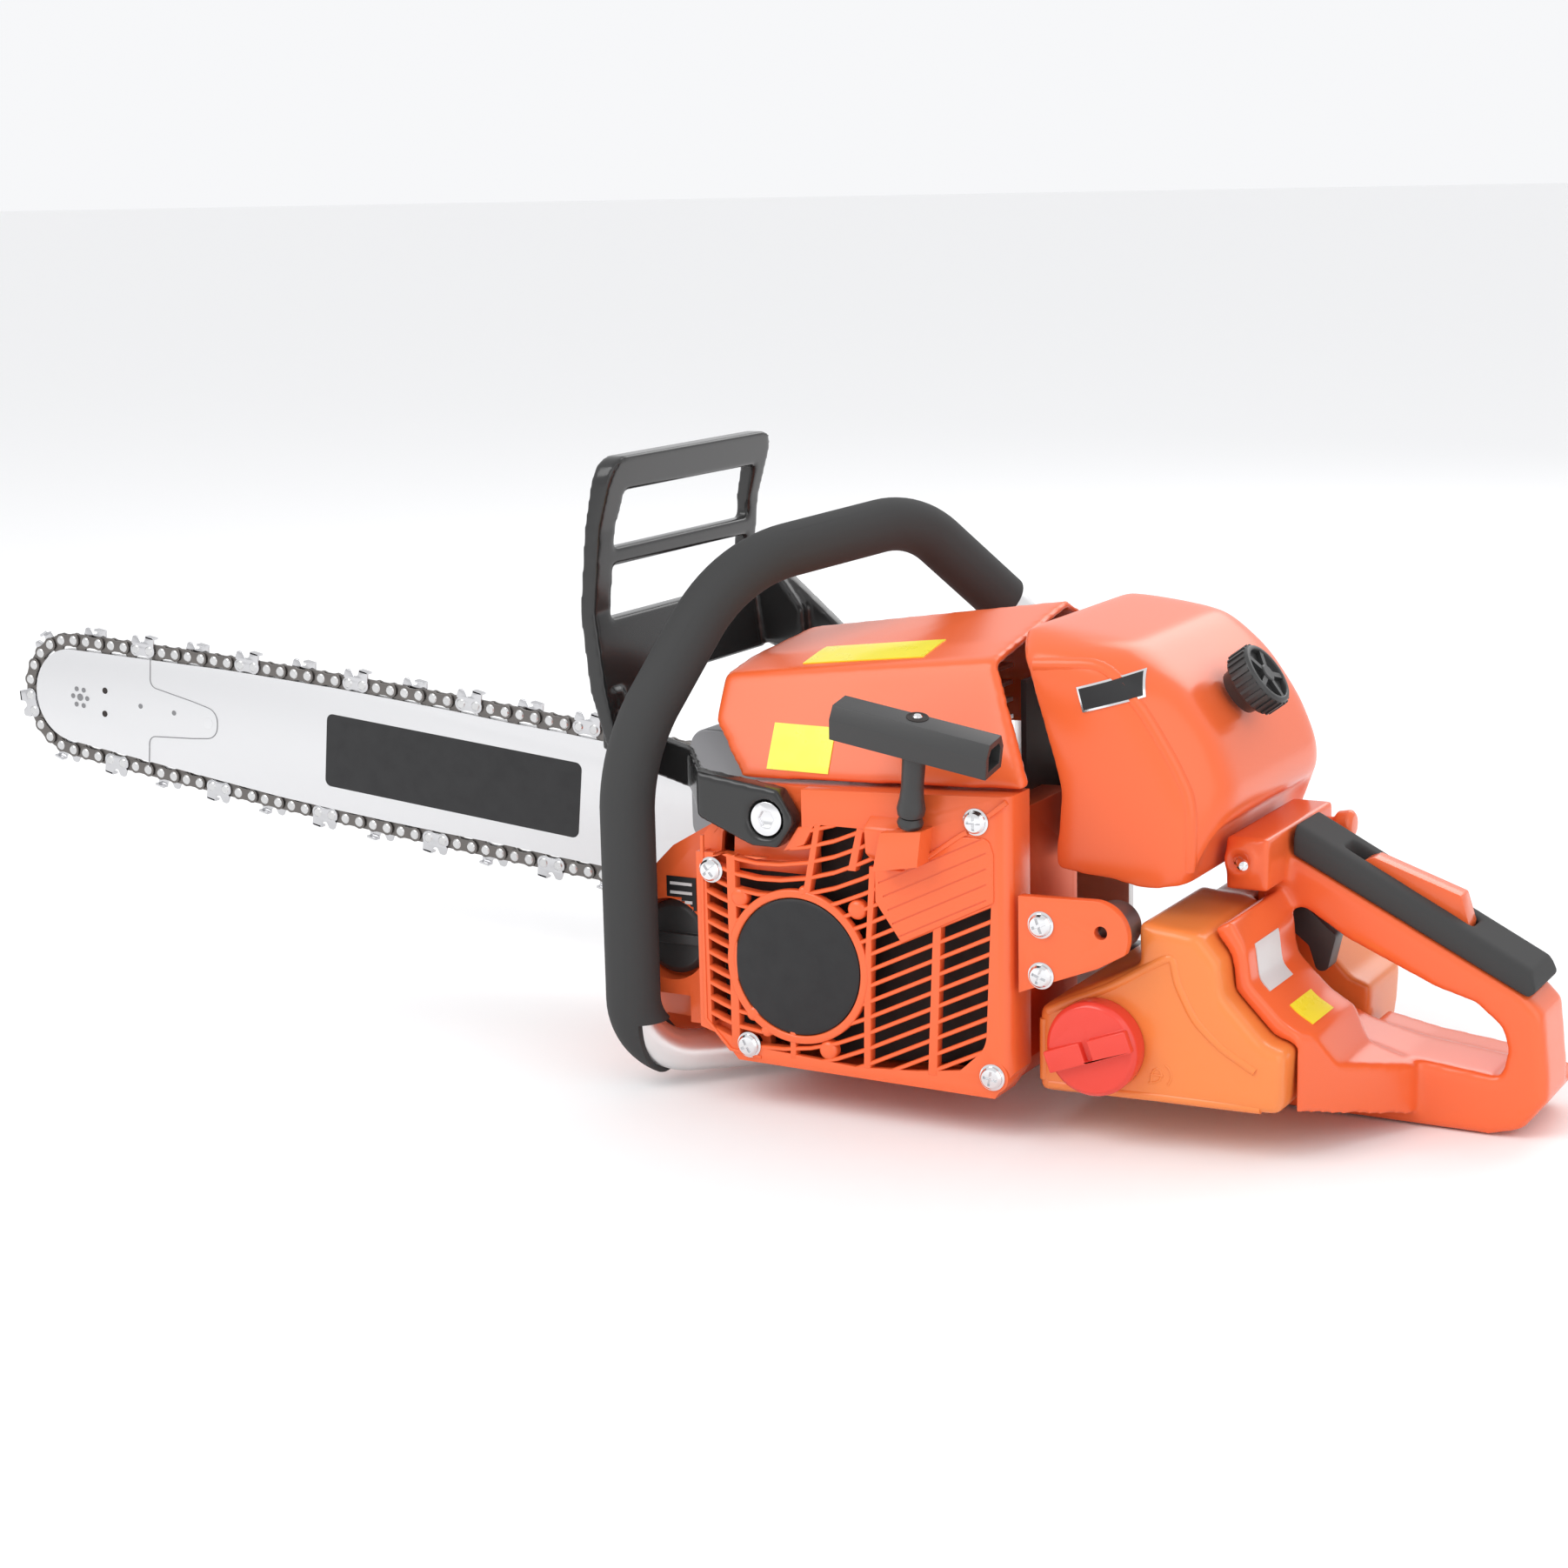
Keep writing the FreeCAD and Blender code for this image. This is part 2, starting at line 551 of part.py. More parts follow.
def make_starter_housing():
    """A shell with louvres round the badge and slanted slats behind it."""
    body = new_body("starter_housing")
    slab(body, "XZ", "-face_y", "shroud_depth - face_y",
         "-shroud_front, shroud_floor + 14; -42, shroud_floor + 11; -32, shroud_floor;"
         "shroud_rear - 8, shroud_floor - 2; shroud_rear, shroud_floor + 10; shroud_rear, shroud_top;"
         "-30, cover_seam - 5; -shroud_front, 127")
    soften(body, "6", lambda e: on_level("Y", "-face_y")(e) and e.BoundBox.XMin > value("shroud_rear") - 0.1)
    slab(body, "XZ", "shroud_wall - face_y", "shroud_depth - face_y",
         "shroud_wall - shroud_front, shroud_floor + 17; -39, shroud_floor + 14; -30, shroud_floor + shroud_wall;"
         "shroud_rear - 11, shroud_floor + shroud_wall; shroud_rear - 6, shroud_floor + 12;"
         "shroud_rear - 6, shroud_top - 4; -28, cover_seam - 9; shroud_wall - shroud_front, 125", cut=True)
    # seat of the guard arm at the top front corner, and the post for the rope pulley
    slab(body, "XZ", "8 - face_y", "8 + shroud_wall - face_y",
         "1 - shroud_front, 112; 8, 112; 8, cover_seam - 7; -28, cover_seam - 7; 6 - shroud_front, 128;"
         "1 - shroud_front, 124")
    slab(body, "XZ", "shroud_wall - face_y", "8 - face_y", "4, 118; 8, 118; 8, cover_seam - 8; 4, cover_seam - 8")
    slab(body, "XZ", "-face_y", "8 - face_y",
         "-shroud_front - 1, 120; 4, 120; 4, cover_seam + 2; -shroud_front - 1, cover_seam + 2", cut=True)
    slab(body, "XZ", "-face_y", "shroud_wall + 3 - face_y", circles=["0, 0, badge_radius + 3"], origin=AXIS)
    slab(body, "XZ", "shroud_wall - face_y", "shroud_depth + 3 - face_y",
         circles=["0, 0, post_radius"], origin=AXIS)
    drill(body, "XZ", "-face_y", "badge_thick - face_y", "0, 0, badge_radius + 0.4", origin=AXIS)
    louvre = slab(body, "XZ", "-face_y", "shroud_wall + 1 - face_y",
                  "badge_radius + 5, -5; badge_radius + 9, -6; badge_radius + 9, 6; badge_radius + 5, 5",
                  origin=AXIS, cut=True)
    doc.recompute()
    polar(body, louvre, 14, louvre.Profile[0])
    slat = slab(body, "XZ", "-face_y", "shroud_wall + 1 - face_y",
                "56, 30; 94, 44; 94, 49; 56, 35", cut=True)
    doc.recompute()
    linear(body, slat, 6, "46", slat.Profile[0])
    # pedestal for the rope
    slab(body, "XZ", "-face_y - 12.5", "-face_y", "46, 122; 68, 126; 70, 142; 50, 140")
    slab(body, "XZ", "-face_y", "12 - face_y", circles=["%s, %s, 7.5" % spot for spot in HOUSING_SCREWS])
    drill(body, "XZ", "-face_y", "4 - face_y", *["%s, %s, 5.6" % spot for spot in HOUSING_SCREWS])
    drill(body, "XZ", "-face_y", "17 - face_y", *["%s, %s, 3" % spot for spot in HOUSING_SCREWS])


HOUSING_SCREWS = [("91", "146"), ("-44", "112"), ("98", "30"), ("-26", "30")]


def make_starter_inside():
    badge = new_body("starter_badge", ("0", "-face_y - 0.6", "crank_z"), facing(RIGHT))
    turned(badge, "0, 0; badge_radius - 2, 0; badge_radius, 0.6; badge_radius, badge_thick; 0, badge_thick")
    spring = new_body("rewind_spring", ("0", "6.3 - face_y", "crank_z"), facing(RIGHT))
    slab(spring, "XY", "0", "2", circles=["0, 0, 30", "0, 0, post_radius + 2"])
    pulley = new_body("starter_pulley", ("0", "9 - face_y", "crank_z"), facing(RIGHT))
    turned(pulley, "post_radius + fit, 0; pulley_radius, 0; pulley_radius, 1.5; rope_radius - rope_thick / 2, 1.5;"
                   "rope_radius - rope_thick / 2, 7; pulley_radius, 7; pulley_radius, 8.5; 14, 8.5; 14, 13;"
                   "post_radius + fit, 13")
    rope = new_body("starter_rope", ("0", "9 - face_y", "crank_z"), facing(RIGHT))
    slab(rope, "XY", "2", "2 + rope_thick",
         circles=["0, 0, rope_radius + rope_thick / 2", "0, 0, rope_radius - rope_thick / 2"])


PULL = V(0.171, -0.2, 0.965)
ROPE_EXIT = ("62", "-face_y - 6.6", "142")


def make_starter_handle():
    """A hollow tapered T bar on a stem, and the bush that its rope runs in."""
    eyelet = new_body("rope_eyelet", ROPE_EXIT, facing(PULL))
    turned(eyelet, "2.6, 1.4; 5.5, 1.4; 6, 3; 5, 6; 2.6, 6")
    body = new_body("starter_handle", shifted(ROPE_EXIT, PULL, "7"), facing(PULL))
    turned(body, "0, 0; 6, 0; 6.5, 3; 5.5, 8; 5, 14; 5.5, 34; 0, 34")
    slab(body, "YZ", "-38", "38", "-8, 30; 8, 30; 9, 40; 6, 46; -6, 46; -9, 40")
    slab(body, "YZ", "-38.1", "-18", "-5.5, 33; 5.5, 33; 6, 40; 4, 43; -4, 43; -6, 40", cut=True)
    slab(body, "YZ", "18", "38.1", "-5.5, 33; 5.5, 33; 6, 40; 4, 43; -4, 43; -6, 40", cut=True)


def make_housing_screws():
    screws = []
    for i, (x, z) in enumerate(HOUSING_SCREWS):
        screws.append(screw("housing_screw_%d" % i, (x, "4 - face_y", z), LEFT, "5", "2.9", "12"))
    for i, z in enumerate(("79", "102")):
        screws.append(screw("bracket_screw_%d" % i, ("tank_front + 9", "-face_y + 2", z), LEFT, "5", "2.9", "4.6"))
    group("housing_screws", screws)


# --- Covers ---

def make_cylinder_cover():
    """A shell with slanted sides that rises towards the rear, cut back at both ends."""
    body = new_body("cylinder_cover")
    section = ("-cover_left, cover_seam + {low}; -cover_left + 22 + {wall}, {side}; -60, {side} + 5; 0, {crown};"
               "cover_right - 22, {side}; cover_right, {side} - 22; cover_right, cover_seam + {low}")
    loft(body, "YZ", [("-cover_front", section.format(low="-4", wall="0", side="198", crown="208")),
                      ("filter_front + 16", section.format(low="2", wall="0", side="216", crown="232"))])
    inner = ("cover_wall - cover_left, 140; cover_wall - cover_left + 22, {side}; -60, {side} + 4; 0, {crown};"
             "cover_right - 24, {side}; cover_right - cover_wall, {side} - 22; cover_right - cover_wall, 140")
    loft(body, "YZ", [("-cover_front - 1", inner.format(side="194", crown="204")),
                      ("filter_front + 17", inner.format(side="212", crown="228"))], cut=True)
    # rear edge leans forward to the top, front edge is cut back below
    slab(body, "XZ", "-cover_left - 1", "cover_right + 1",
         "filter_front + 14, 150; filter_front + 14, 160; filter_front - 9, 212; filter_front - 10, 240;"
         "filter_front + 20, 240; filter_front + 20, 150", cut=True)
    slab(body, "XZ", "-cover_left - 1", "cover_right + 1",
         "-cover_front - 1, 150; -30, 150; -cover_front, 178; -cover_front - 1, 178", cut=True)


def make_air_cleaner_cover():
    """A shell with a flat side panel, a crowned back and a hollow for the spring mount below."""
    body = new_body("air_cleaner_cover")
    side = ("filter_front - 1, filter_top - 12; filter_rear - 62, filter_top - 11; filter_rear - 50, filter_top - 17;"
            "filter_rear - 39, filter_top - 30; filter_rear - 24, filter_top - 60; filter_rear - 15, 148;"
            "filter_rear - 17, filter_foot + 5; filter_rear - 36, filter_foot + 2; filter_rear - 46, filter_foot + 5;"
            "filter_front + 18, filter_foot + 8; filter_front + 13, filter_foot + 12; filter_front + 18, 153")
    crown = ("filter_front - 7, filter_top; filter_rear - 76, filter_top - 3; filter_rear - 48, filter_top - 7;"
             "filter_rear - 26, filter_top - 24; filter_rear - 10, filter_top - 46; filter_rear, filter_top - 70;"
             "filter_rear - 2, 140; filter_rear - 36, 140; filter_rear - 46, 140;"
             "filter_front + 18, 140; filter_front + 13, 150; filter_front + 4, 180")
    slab(body, "XZ", "-filter_left", "filter_right", side)
    loft(body, "XZ", [("-filter_right", side), ("-filter_right + 18", crown), ("filter_left - 18", crown),
                      ("filter_left", side)])
    hollow = ("filter_front - 14, filter_foot - 2; filter_rear - 20, filter_foot - 2; filter_rear - 19, 148;"
              "filter_rear - 28, filter_top - 62; filter_rear - 42, filter_top - 33; filter_rear - 56, filter_top - 18;"
              "filter_front - 14, filter_top - 16")
    slab(body, "XZ", "cover_wall - filter_left", "filter_right - cover_wall", hollow, cut=True)


def make_cover_trim():
    knob = new_body("cover_knob", ("filter_rear - 15.2", "-22", "filter_top - 34"), facing(V(0.81, 0, 0.59)))
    turned(knob, "0, 0; knob_radius - 5, 0; knob_radius - 4, 5; knob_radius, 6; knob_radius, 15;"
                 "knob_radius - 3, 18; 0, 18")
    notch = slab(knob, "XY", "6", "18", circles=["knob_radius + 1, 0, 2.5"], cut=True)
    doc.recompute()
    polar(knob, notch, 10, notch.Profile[0])
    plate = new_body("name_plate", ("filter_rear - 52", "-filter_left - 1.2", "filter_top - 26"))
    slab(plate, "XZ", "0", "1", "-13, -6; 13, -6; 13, 6; -13, 6")


# --- Tanks, caps and springs ---

def make_oil_tank():
    """The front left block; its cap sits in a round recess."""
    body = new_body("oil_tank")
    rim = "gap + shroud_front"
    slab(body, "XZ", "-tank_left", "-case_half - gap",
         "-({0}), 38; -({0}), 130; -75, 117; -90, 102; -98, 84; -98, 38; -86, 21; -70, 17; -58, 26".format(rim))
    slab(body, "XZ", "-case_half - gap", "34", "-({0}), 28; -({0}), 92; -98, 92; -98, 28".format(rim))
    slab(body, "XZ", "tank_wall + 10 - tank_left", "34 - tank_wall",
         "-({0}) - tank_wall, 40; -({0}) - tank_wall, 89; -95, 89; -95, 40; -84, 32".format(rim), cut=True)
    # channel for the handle tube underneath
    reach = "(tube_radius + sleeve_thick + 2)"
    ends = (("-30", "-45", 1), ("-30", "-45", -1), ("-handle_ahead - 10", "-handle_left - 12", -1),
            ("-handle_ahead - 10", "-handle_left - 12", 1))
    slab(body, "XY", "0", "handle_foot + tube_radius + sleeve_thick + 1", "; ".join(
        "%s + %d * 0.762 * %s, %s - %d * 0.647 * %s" % (x, side, reach, y, side, reach) for x, y, side in ends),
        cut=True)
    slab(body, "XY", "0", "44", "-handle_ahead - 12, -tank_left; 22 - handle_ahead, -tank_left;"
                                "22 - handle_ahead, 8 - tank_left; -handle_ahead - 12, 12 - tank_left", cut=True)
    drill(body, "XZ", "-tank_left", "10 - tank_left", "-78, 71, oil_cap_radius + 2")
    drill(body, "XZ", "-tank_left", "20 - tank_left", "-78, 71, oil_cap_radius - 5")
    cap = new_body("oil_cap", ("-78", "9.7 - tank_left", "71"), facing(LEFT))
    turned(cap, "0, -4; oil_cap_radius - 5.5, -4; oil_cap_radius - 5.5, 0; oil_cap_radius, 0; oil_cap_radius, 4;"
                "oil_cap_radius - 3, 6; 0, 6")
    slab(cap, "XY", "6", "9", "2 - oil_cap_radius, -2.5; oil_cap_radius - 2, -2.5; oil_cap_radius - 2, 2.5;"
                              "2 - oil_cap_radius, 2.5")


def make_fuel_tank():
    """A hollow tank as wide as the saw, with a side lobe on each side of the rear handle."""
    body = new_body("fuel_tank")
    lobe = ("tank_front, 59; tank_front, tank_floor; tank_rear, tank_floor + 3; tank_rear + 2, 51;"
            "tank_rear - 8, 54; tank_rear - 26, 73; tank_rear - 28, 88; tank_rear - 38, 100;"
            "tank_rear - 66, 103; tank_rear - 65, 84; tank_front + 23, 71")
    slab(body, "XZ", "-tank_left", "-grip_half - 3", lobe)
    slab(body, "XZ", "grip_half + 3", "tank_right", lobe)
    slab(body, "XZ", "-grip_half - 3", "grip_half + 3",
         "tank_front, 59; tank_front, tank_floor; 184, tank_floor; 184, 100; 164, 100; 150, 80; tank_front + 23, 71")
    soften(body, "4", lambda e: on_level("Y", "-tank_left")(e))
    slab(body, "XZ", "tank_wall - tank_left", "tank_right - tank_wall",
         "tank_front + tank_wall, 56; tank_front + tank_wall, tank_floor + tank_wall; 181, tank_floor + tank_wall;"
         "181, 92; 164, 94; 160, 78; tank_front + 26, 68", cut=True)
    drill(body, "XZ", "-tank_left", "tank_wall - tank_left", "142, 46, fuel_cap_radius - 6")
    cap = new_body("fuel_cap", ("142", "-tank_left - 0.3", "46"), facing(LEFT))
    turned(cap, "0, -8; fuel_cap_radius - 6.5, -8; fuel_cap_radius - 6.5, 0; fuel_cap_radius, 0;"
                "fuel_cap_radius, 9; fuel_cap_radius - 2, 11; 0, 11")
    slab(cap, "XY", "11", "15", "1 - fuel_cap_radius, -5; fuel_cap_radius - 1, -5; fuel_cap_radius - 1, 5;"
                                "1 - fuel_cap_radius, 5")


def make_spring_mounts():
    bracket = new_body("av_bracket")
    slab(bracket, "XZ", "2 - face_y", "7 - face_y",
         "tank_front - 2, 70; tank_front - 2, 114; 146, 115, -16; 160, 92; 148, 85",
         circles=["149, 101, 3", "tank_front + 9, 79, 3", "tank_front + 9, 102, 3"])
    springs = []
    for side, at, direction, radius, length in (
            ("left", ("147", "7 + gap - face_y", "99"), RIGHT, "11", "20"),
            ("right", ("shroud_rear - 7 + gap / 2", "case_half - 3", "46"), V(1, 0, 0), "9",
             "tank_front - shroud_rear + 7 - gap")):
        coil = rod("spring_body_" + side, radius, length, at, direction)
        core = rod("spring_core_" + side, "4", length, at, direction)
        springs.append(cut_from("spring_" + side, coil, core))
    group("av_springs", springs)


# --- Rear handle and its controls ---

def make_rear_handle():
    """A closed hoop with a hollow upper bar for the trigger and its lock."""
    body = new_body("rear_handle_frame")
    slab(body, "XZ", "-grip_half", "grip_half",
         "185, hoop_floor + 3; 200, hoop_floor + 1; 294, hoop_floor; grip_rear - 2, hoop_floor + 4;"
         "hoop_rear, hoop_floor + 18; hoop_rear, hoop_floor + 28; hoop_rear - 3, 58; grip_rear - 1, 65; 200, 121;"
         "185, 128",
         "192, 64; 190, 80; 196, 92; 207, 96; 228, 83; grip_rear - 42, 65; grip_rear - 24, 60; grip_rear - 12, 50;"
         "grip_rear - 9, 40; grip_rear - 12, 27; 254, 32; 230, 38; 204, 50")
    slab(body, "XZ", "grip_half", "grip_half + 24",
         "tank_rear + 4, hoop_floor + 2; 294, hoop_floor; grip_rear - 2, hoop_floor + 4;"
         "hoop_rear, hoop_floor + 18; grip_rear - 12, 25; 254, 30; tank_rear + 4, 35")
    slab(body, "XZ", "-flare_left", "-grip_half",
         "tank_rear - 28, 104; tank_rear - 21, 92; tank_rear - 19, 76; tank_rear - 4, 61; tank_rear + 8, 54;"
         "tank_rear + 15, 38; tank_rear + 37, 30; tank_rear + 37, hoop_floor + 6; tank_rear + 2.6, tank_floor + 1;"
         "tank_rear + 2.6, 51.6; tank_rear - 7.6, 54.5; tank_rear - 25.5, 73.3; tank_rear - 27.4, 88.5;"
         "tank_rear - 36, 100")
    slab(body, "XY", "hoop_floor", "62", "tank_rear + 3, -flare_left - 1; tank_rear + 38, -flare_left - 1;"
                                         "tank_rear + 38, -grip_half - 3", cut=True)
    slab(body, "XZ", "-46", "46", "180, 108; 200, 108; 200, 132; 180, 132")
    slab(body, "XZ", "-49", "-46", circles=["187, 122, 7.5", "187, 122, 5"])
    slab(body, "XZ", "-8", "8",
         "187.8, 78; 200, 72; 240, 74; grip_rear - 24, 52; grip_rear - 24, 70; 205, 117; 187.8, 112", cut=True)
    slab(body, "XZ", "-8", "8", "222, 90; grip_rear - 30, 60; grip_rear - 30, 90; 222, 125", cut=True)
    slab(body, "XZ", "-8.2", "8.2", circles=["trigger_x, trigger_z, pivot_radius"])
    soften(body, "4", lambda e: (on_level("Y", "-grip_half")(e) or on_level("Y", "grip_half")(e))
           and e.BoundBox.XMin > value("grip_rear") - 2)
    grip = new_body("rear_grip")
    slab(grip, "XZ", "-grip_half - 1", "grip_half + 1",
         "202.4, 120; 202.4, 134; grip_rear, 77; grip_rear + 3, 68; grip_rear - 0.6, 65.2")
    slab(grip, "XZ", "-7", "7", "222, 100; 222, 140; grip_rear - 30, 100; grip_rear - 30, 70", cut=True)
    soften(grip, "7", lambda e: e.BoundBox.ZMin > 68 and (on_level("Y", "-grip_half - 1")(e)
           or on_level("Y", "grip_half + 1")(e)) and e.BoundBox.ZMax > value("77") - 0.1
           and e.BoundBox.XLength > 90)
    slab(grip, "XZ", "-7.2", "7.2", circles=["lock_x, lock_z, pivot_radius"])


def make_controls():
    trigger = new_body("throttle_trigger", ("trigger_x", "0", "trigger_z"))
    slab(trigger, "XZ", "-6", "6", "-2.5, 3; 1, 7; 8, 8; 24, -6; 28, -9; 24, -26; 19, -27; 15, -15; 6, -8; -2.5, -4")
    soften(trigger, "3", lambda e: along(RIGHT)(e) and e.BoundBox.ZMax < 66)
    drill(trigger, "XZ", "-6", "6", "0, 0, pivot_radius + fit")
    lock = new_body("throttle_lockout", ("lock_x", "0", "lock_z"))
    slab(lock, "XZ", "-6", "6", "4, -6; 6, 6; 2, 19; -38, 33; -43, 31; -46, 22; -10, -4")
    soften(lock, "2", lambda e: along(RIGHT)(e) and e.BoundBox.ZMin > 16)
    drill(lock, "XZ", "-6", "6", "0, 0, pivot_radius + fit")
    switch = new_body("stop_switch", ("186", "-46.4", "122"), facing(V(0.45, -0.88, 0.1)))
    turned(switch, "0, 1.8; 2, 1.8; 2.2, 3; 1.6, 4; 1.6, 14; 2.6, 18; 2, 21; 0, 22")
    choke = new_body("choke_knob", ("200.2", "34", "124"), facing(V(1, 0, 0)))
    turned(choke, "0, 0; 3, 0; 3, 4; 6, 6; 7, 12; 5, 14; 0, 14")


# --- Front handle and hand guard ---

def rounded_path(points, radii):
    """A wire of straight runs joined by tangent arcs at the inner points."""
    edges = []
    last = points[0]
    for before, corner, after, radius in zip(points, points[1:], points[2:], radii):
        back, onward = (before - corner).normalize(), (after - corner).normalize()
        half = back.getAngle(onward) / 2
        reach = radius / math.tan(half)
        start, end = corner + back * reach, corner + onward * reach
        bisector = (back + onward).normalize()
        middle = corner + bisector * (radius / math.sin(half) - radius)
        edges += [Part.LineSegment(last, start).toShape(), Part.Arc(start, middle, end).toShape()]
        last = end
    edges.append(Part.LineSegment(last, points[-1]).toShape())
    return Part.Wire(edges)


def swept(points, radii, radius):
    wire = rounded_path(points, radii)
    first = (points[1] - points[0]).normalize()
    circle = Part.Wire(Part.Circle(points[0], first, radius).toShape())
    return wire.makePipeShell([circle], True, False)


def make_front_handle():
    """A tube from under the crankcase up the left side, over the top and down the right side."""
    skew = (value("handle_ahead") + 25) / value("handle_left + handle_right")

    def on_handle(y, z):
        return V(skew * (y + value("handle_left")) - value("handle_ahead"), y, z)

    top, left, right = value("handle_top"), value("handle_left"), value("handle_right")
    low = V(-34, -50, 12)
    points = [low, on_handle(-left, value("handle_foot")), on_handle(-left, top - 94), on_handle(-63, top - 11),
              on_handle(30, top + 3), on_handle(right, top - 59), on_handle(right, top - 127)]
    radii = [30, 95, 78, 46, 40]
    tube = doc.addObject("Part::Feature", "front_handle_tube")
    tube.Shape = swept(points, radii, value("tube_radius")).cut(swept(points, radii, value("tube_radius - 2")))
    keep("front_handle_tube", tube)
    start = points[1] + (points[0] - points[1]) * 0.62
    end = points[5] + (points[4] - points[5]) * 0.26
    run = [start] + points[1:5] + [end]
    sleeve = doc.addObject("Part::Feature", "front_handle_grip")
    outer = swept(run, radii[:4], value("tube_radius + sleeve_thick"))
    sleeve.Shape = outer.cut(swept(run, radii[:4], value("tube_radius")))
    keep("front_handle_grip", sleeve)


def make_handle_bracket():
    """The lug on the right that the upper end of the handle tube is clamped in."""
    body = new_body("handle_bracket")
    slab(body, "XY", "122 + gap", "136",
         "-24, case_half - 6; 45, case_half - 6; 45, handle_right - 2; 37, handle_right + 14;"
         "13, handle_right + 14; 5, handle_right - 2; 5, cover_right + 2; -24, cover_right + 2")
    slab(body, "XZ", "case_half", "cover_right + 4 - gap", circles=["-guard_pivot_x, guard_pivot_z, 9"])
    drill(body, "XZ", "case_half", "cover_right + 4", "-guard_pivot_x, guard_pivot_z, 4")
    drill(body, "XY", "handle_top - 127", "136", "25, handle_right, tube_radius")


def make_hand_guard():
    """A slotted panel with an arm on each side down to its pivots."""
    body = new_body("hand_guard")
    back = "guard_ahead - guard_thick"
    slab(body, "XZ", "-guard_left", "guard_right",
         "-({0}) + 14, guard_top; -({0}) + 3, guard_top; -guard_ahead + 4, guard_top - 34;"
         "-guard_ahead, guard_top - 74; -guard_ahead + 4, guard_top - 112; -({0}) + 5, guard_top - 112;"
         "-({0}), guard_top - 74; -({0}) + 4, guard_top - 34".format(back))
    slab(body, "XZ", "-guard_left", "-guard_left + 34",
         "-guard_ahead + 4, guard_top - 111; -guard_ahead + 12, 162; 4 - ({0}) + 8, 160;"
         "-({0}) + 5, guard_top - 111".format(back))
    slab(body, "YZ", "-guard_ahead - 1", "-80",
         "18 - guard_left, guard_top - 17; guard_right - 12, guard_top - 17; guard_right - 10, guard_top - 44;"
         "16 - guard_left, guard_top - 44",
         "16 - guard_left, guard_top - 53; guard_right - 10, guard_top - 53; guard_right - 10, guard_top - 78;"
         "16 - guard_left, guard_top - 78", cut=True)
    soften(body, "12", lambda e: along(V(1, 0, 0))(e) and e.BoundBox.ZMin > value("guard_top") - 1)
    # left arm: inside the handle's leg, then out to the pivot on the starter housing
    outer, boss = "tube_radius + sleeve_thick + 8 - handle_left", "-guard_pivot_x + 14"
    slab(body, "XY", "126", "188",
         "-({0}) - 2, {1}; 22 - handle_ahead, {1}; 42 - handle_ahead, -face_y - 4;"
         "{2}, -face_y - 4; {2}, 6.5 - face_y; 40 - handle_ahead, 6.5 - face_y; 20 - handle_ahead, {1} + 9;"
         "-({0}) - 2, {1} + 9".format(back, outer, boss))
    for outline in ("-guard_ahead - 1, 120; -guard_ahead - 1, 162; -90, 150; -60, 142; -guard_pivot_x - 8, 126;"
                    "-guard_pivot_x - 8, 120",
                    "-guard_ahead + 14, 189; -guard_ahead + 16, 178; -90, 168; -60, 160; -guard_pivot_x + 6, 153;"
                    "-guard_pivot_x + 15, 139; -guard_pivot_x + 6, 126; -guard_pivot_x + 20, 126;"
                    "-guard_pivot_x + 20, 189"):
        slab(body, "XZ", "-face_y - 6", "16 - guard_left", outline, cut=True)
    right = ("-guard_ahead + 6, 190; -guard_ahead + 1, 226; -100, 226; -60, 192; -guard_pivot_x + 6, 153;"
             "-guard_pivot_x + 14, 139; -guard_pivot_x + 6, 126; -guard_pivot_x - 8, 126; -60, 168")
    slab(body, "XZ", "cover_right + 4", "cover_right + 12", right)
    slab(body, "XZ", "guard_right - 2", "cover_right + 5",
         "-guard_ahead + 6, 190; -guard_ahead + 1, 226; -100, 226; -86, 208; -84, 186")
    drill(body, "XZ", "-face_y - 5", "cover_right + 13", "-guard_pivot_x, guard_pivot_z, 4 + fit")
    drill(body, "XZ", "-face_y - 5", "1 - face_y", "-guard_pivot_x, guard_pivot_z, 9")


def make_guard_pivots():
    pins = [screw("guard_screw_left", ("-guard_pivot_x", "1 - face_y - gap", "guard_pivot_z"), LEFT,
                  "8", "4", "7.4"),
            screw("guard_screw_right", ("-guard_pivot_x", "cover_right + 12 + gap", "guard_pivot_z"), RIGHT,
                  "8", "4", "20")]
    group("guard_screws", pins)


# --- Clutch side ---

BAR_PLACE = (("0", "bar_y", "crank_z"), (RIGHT, "bar_tilt"))


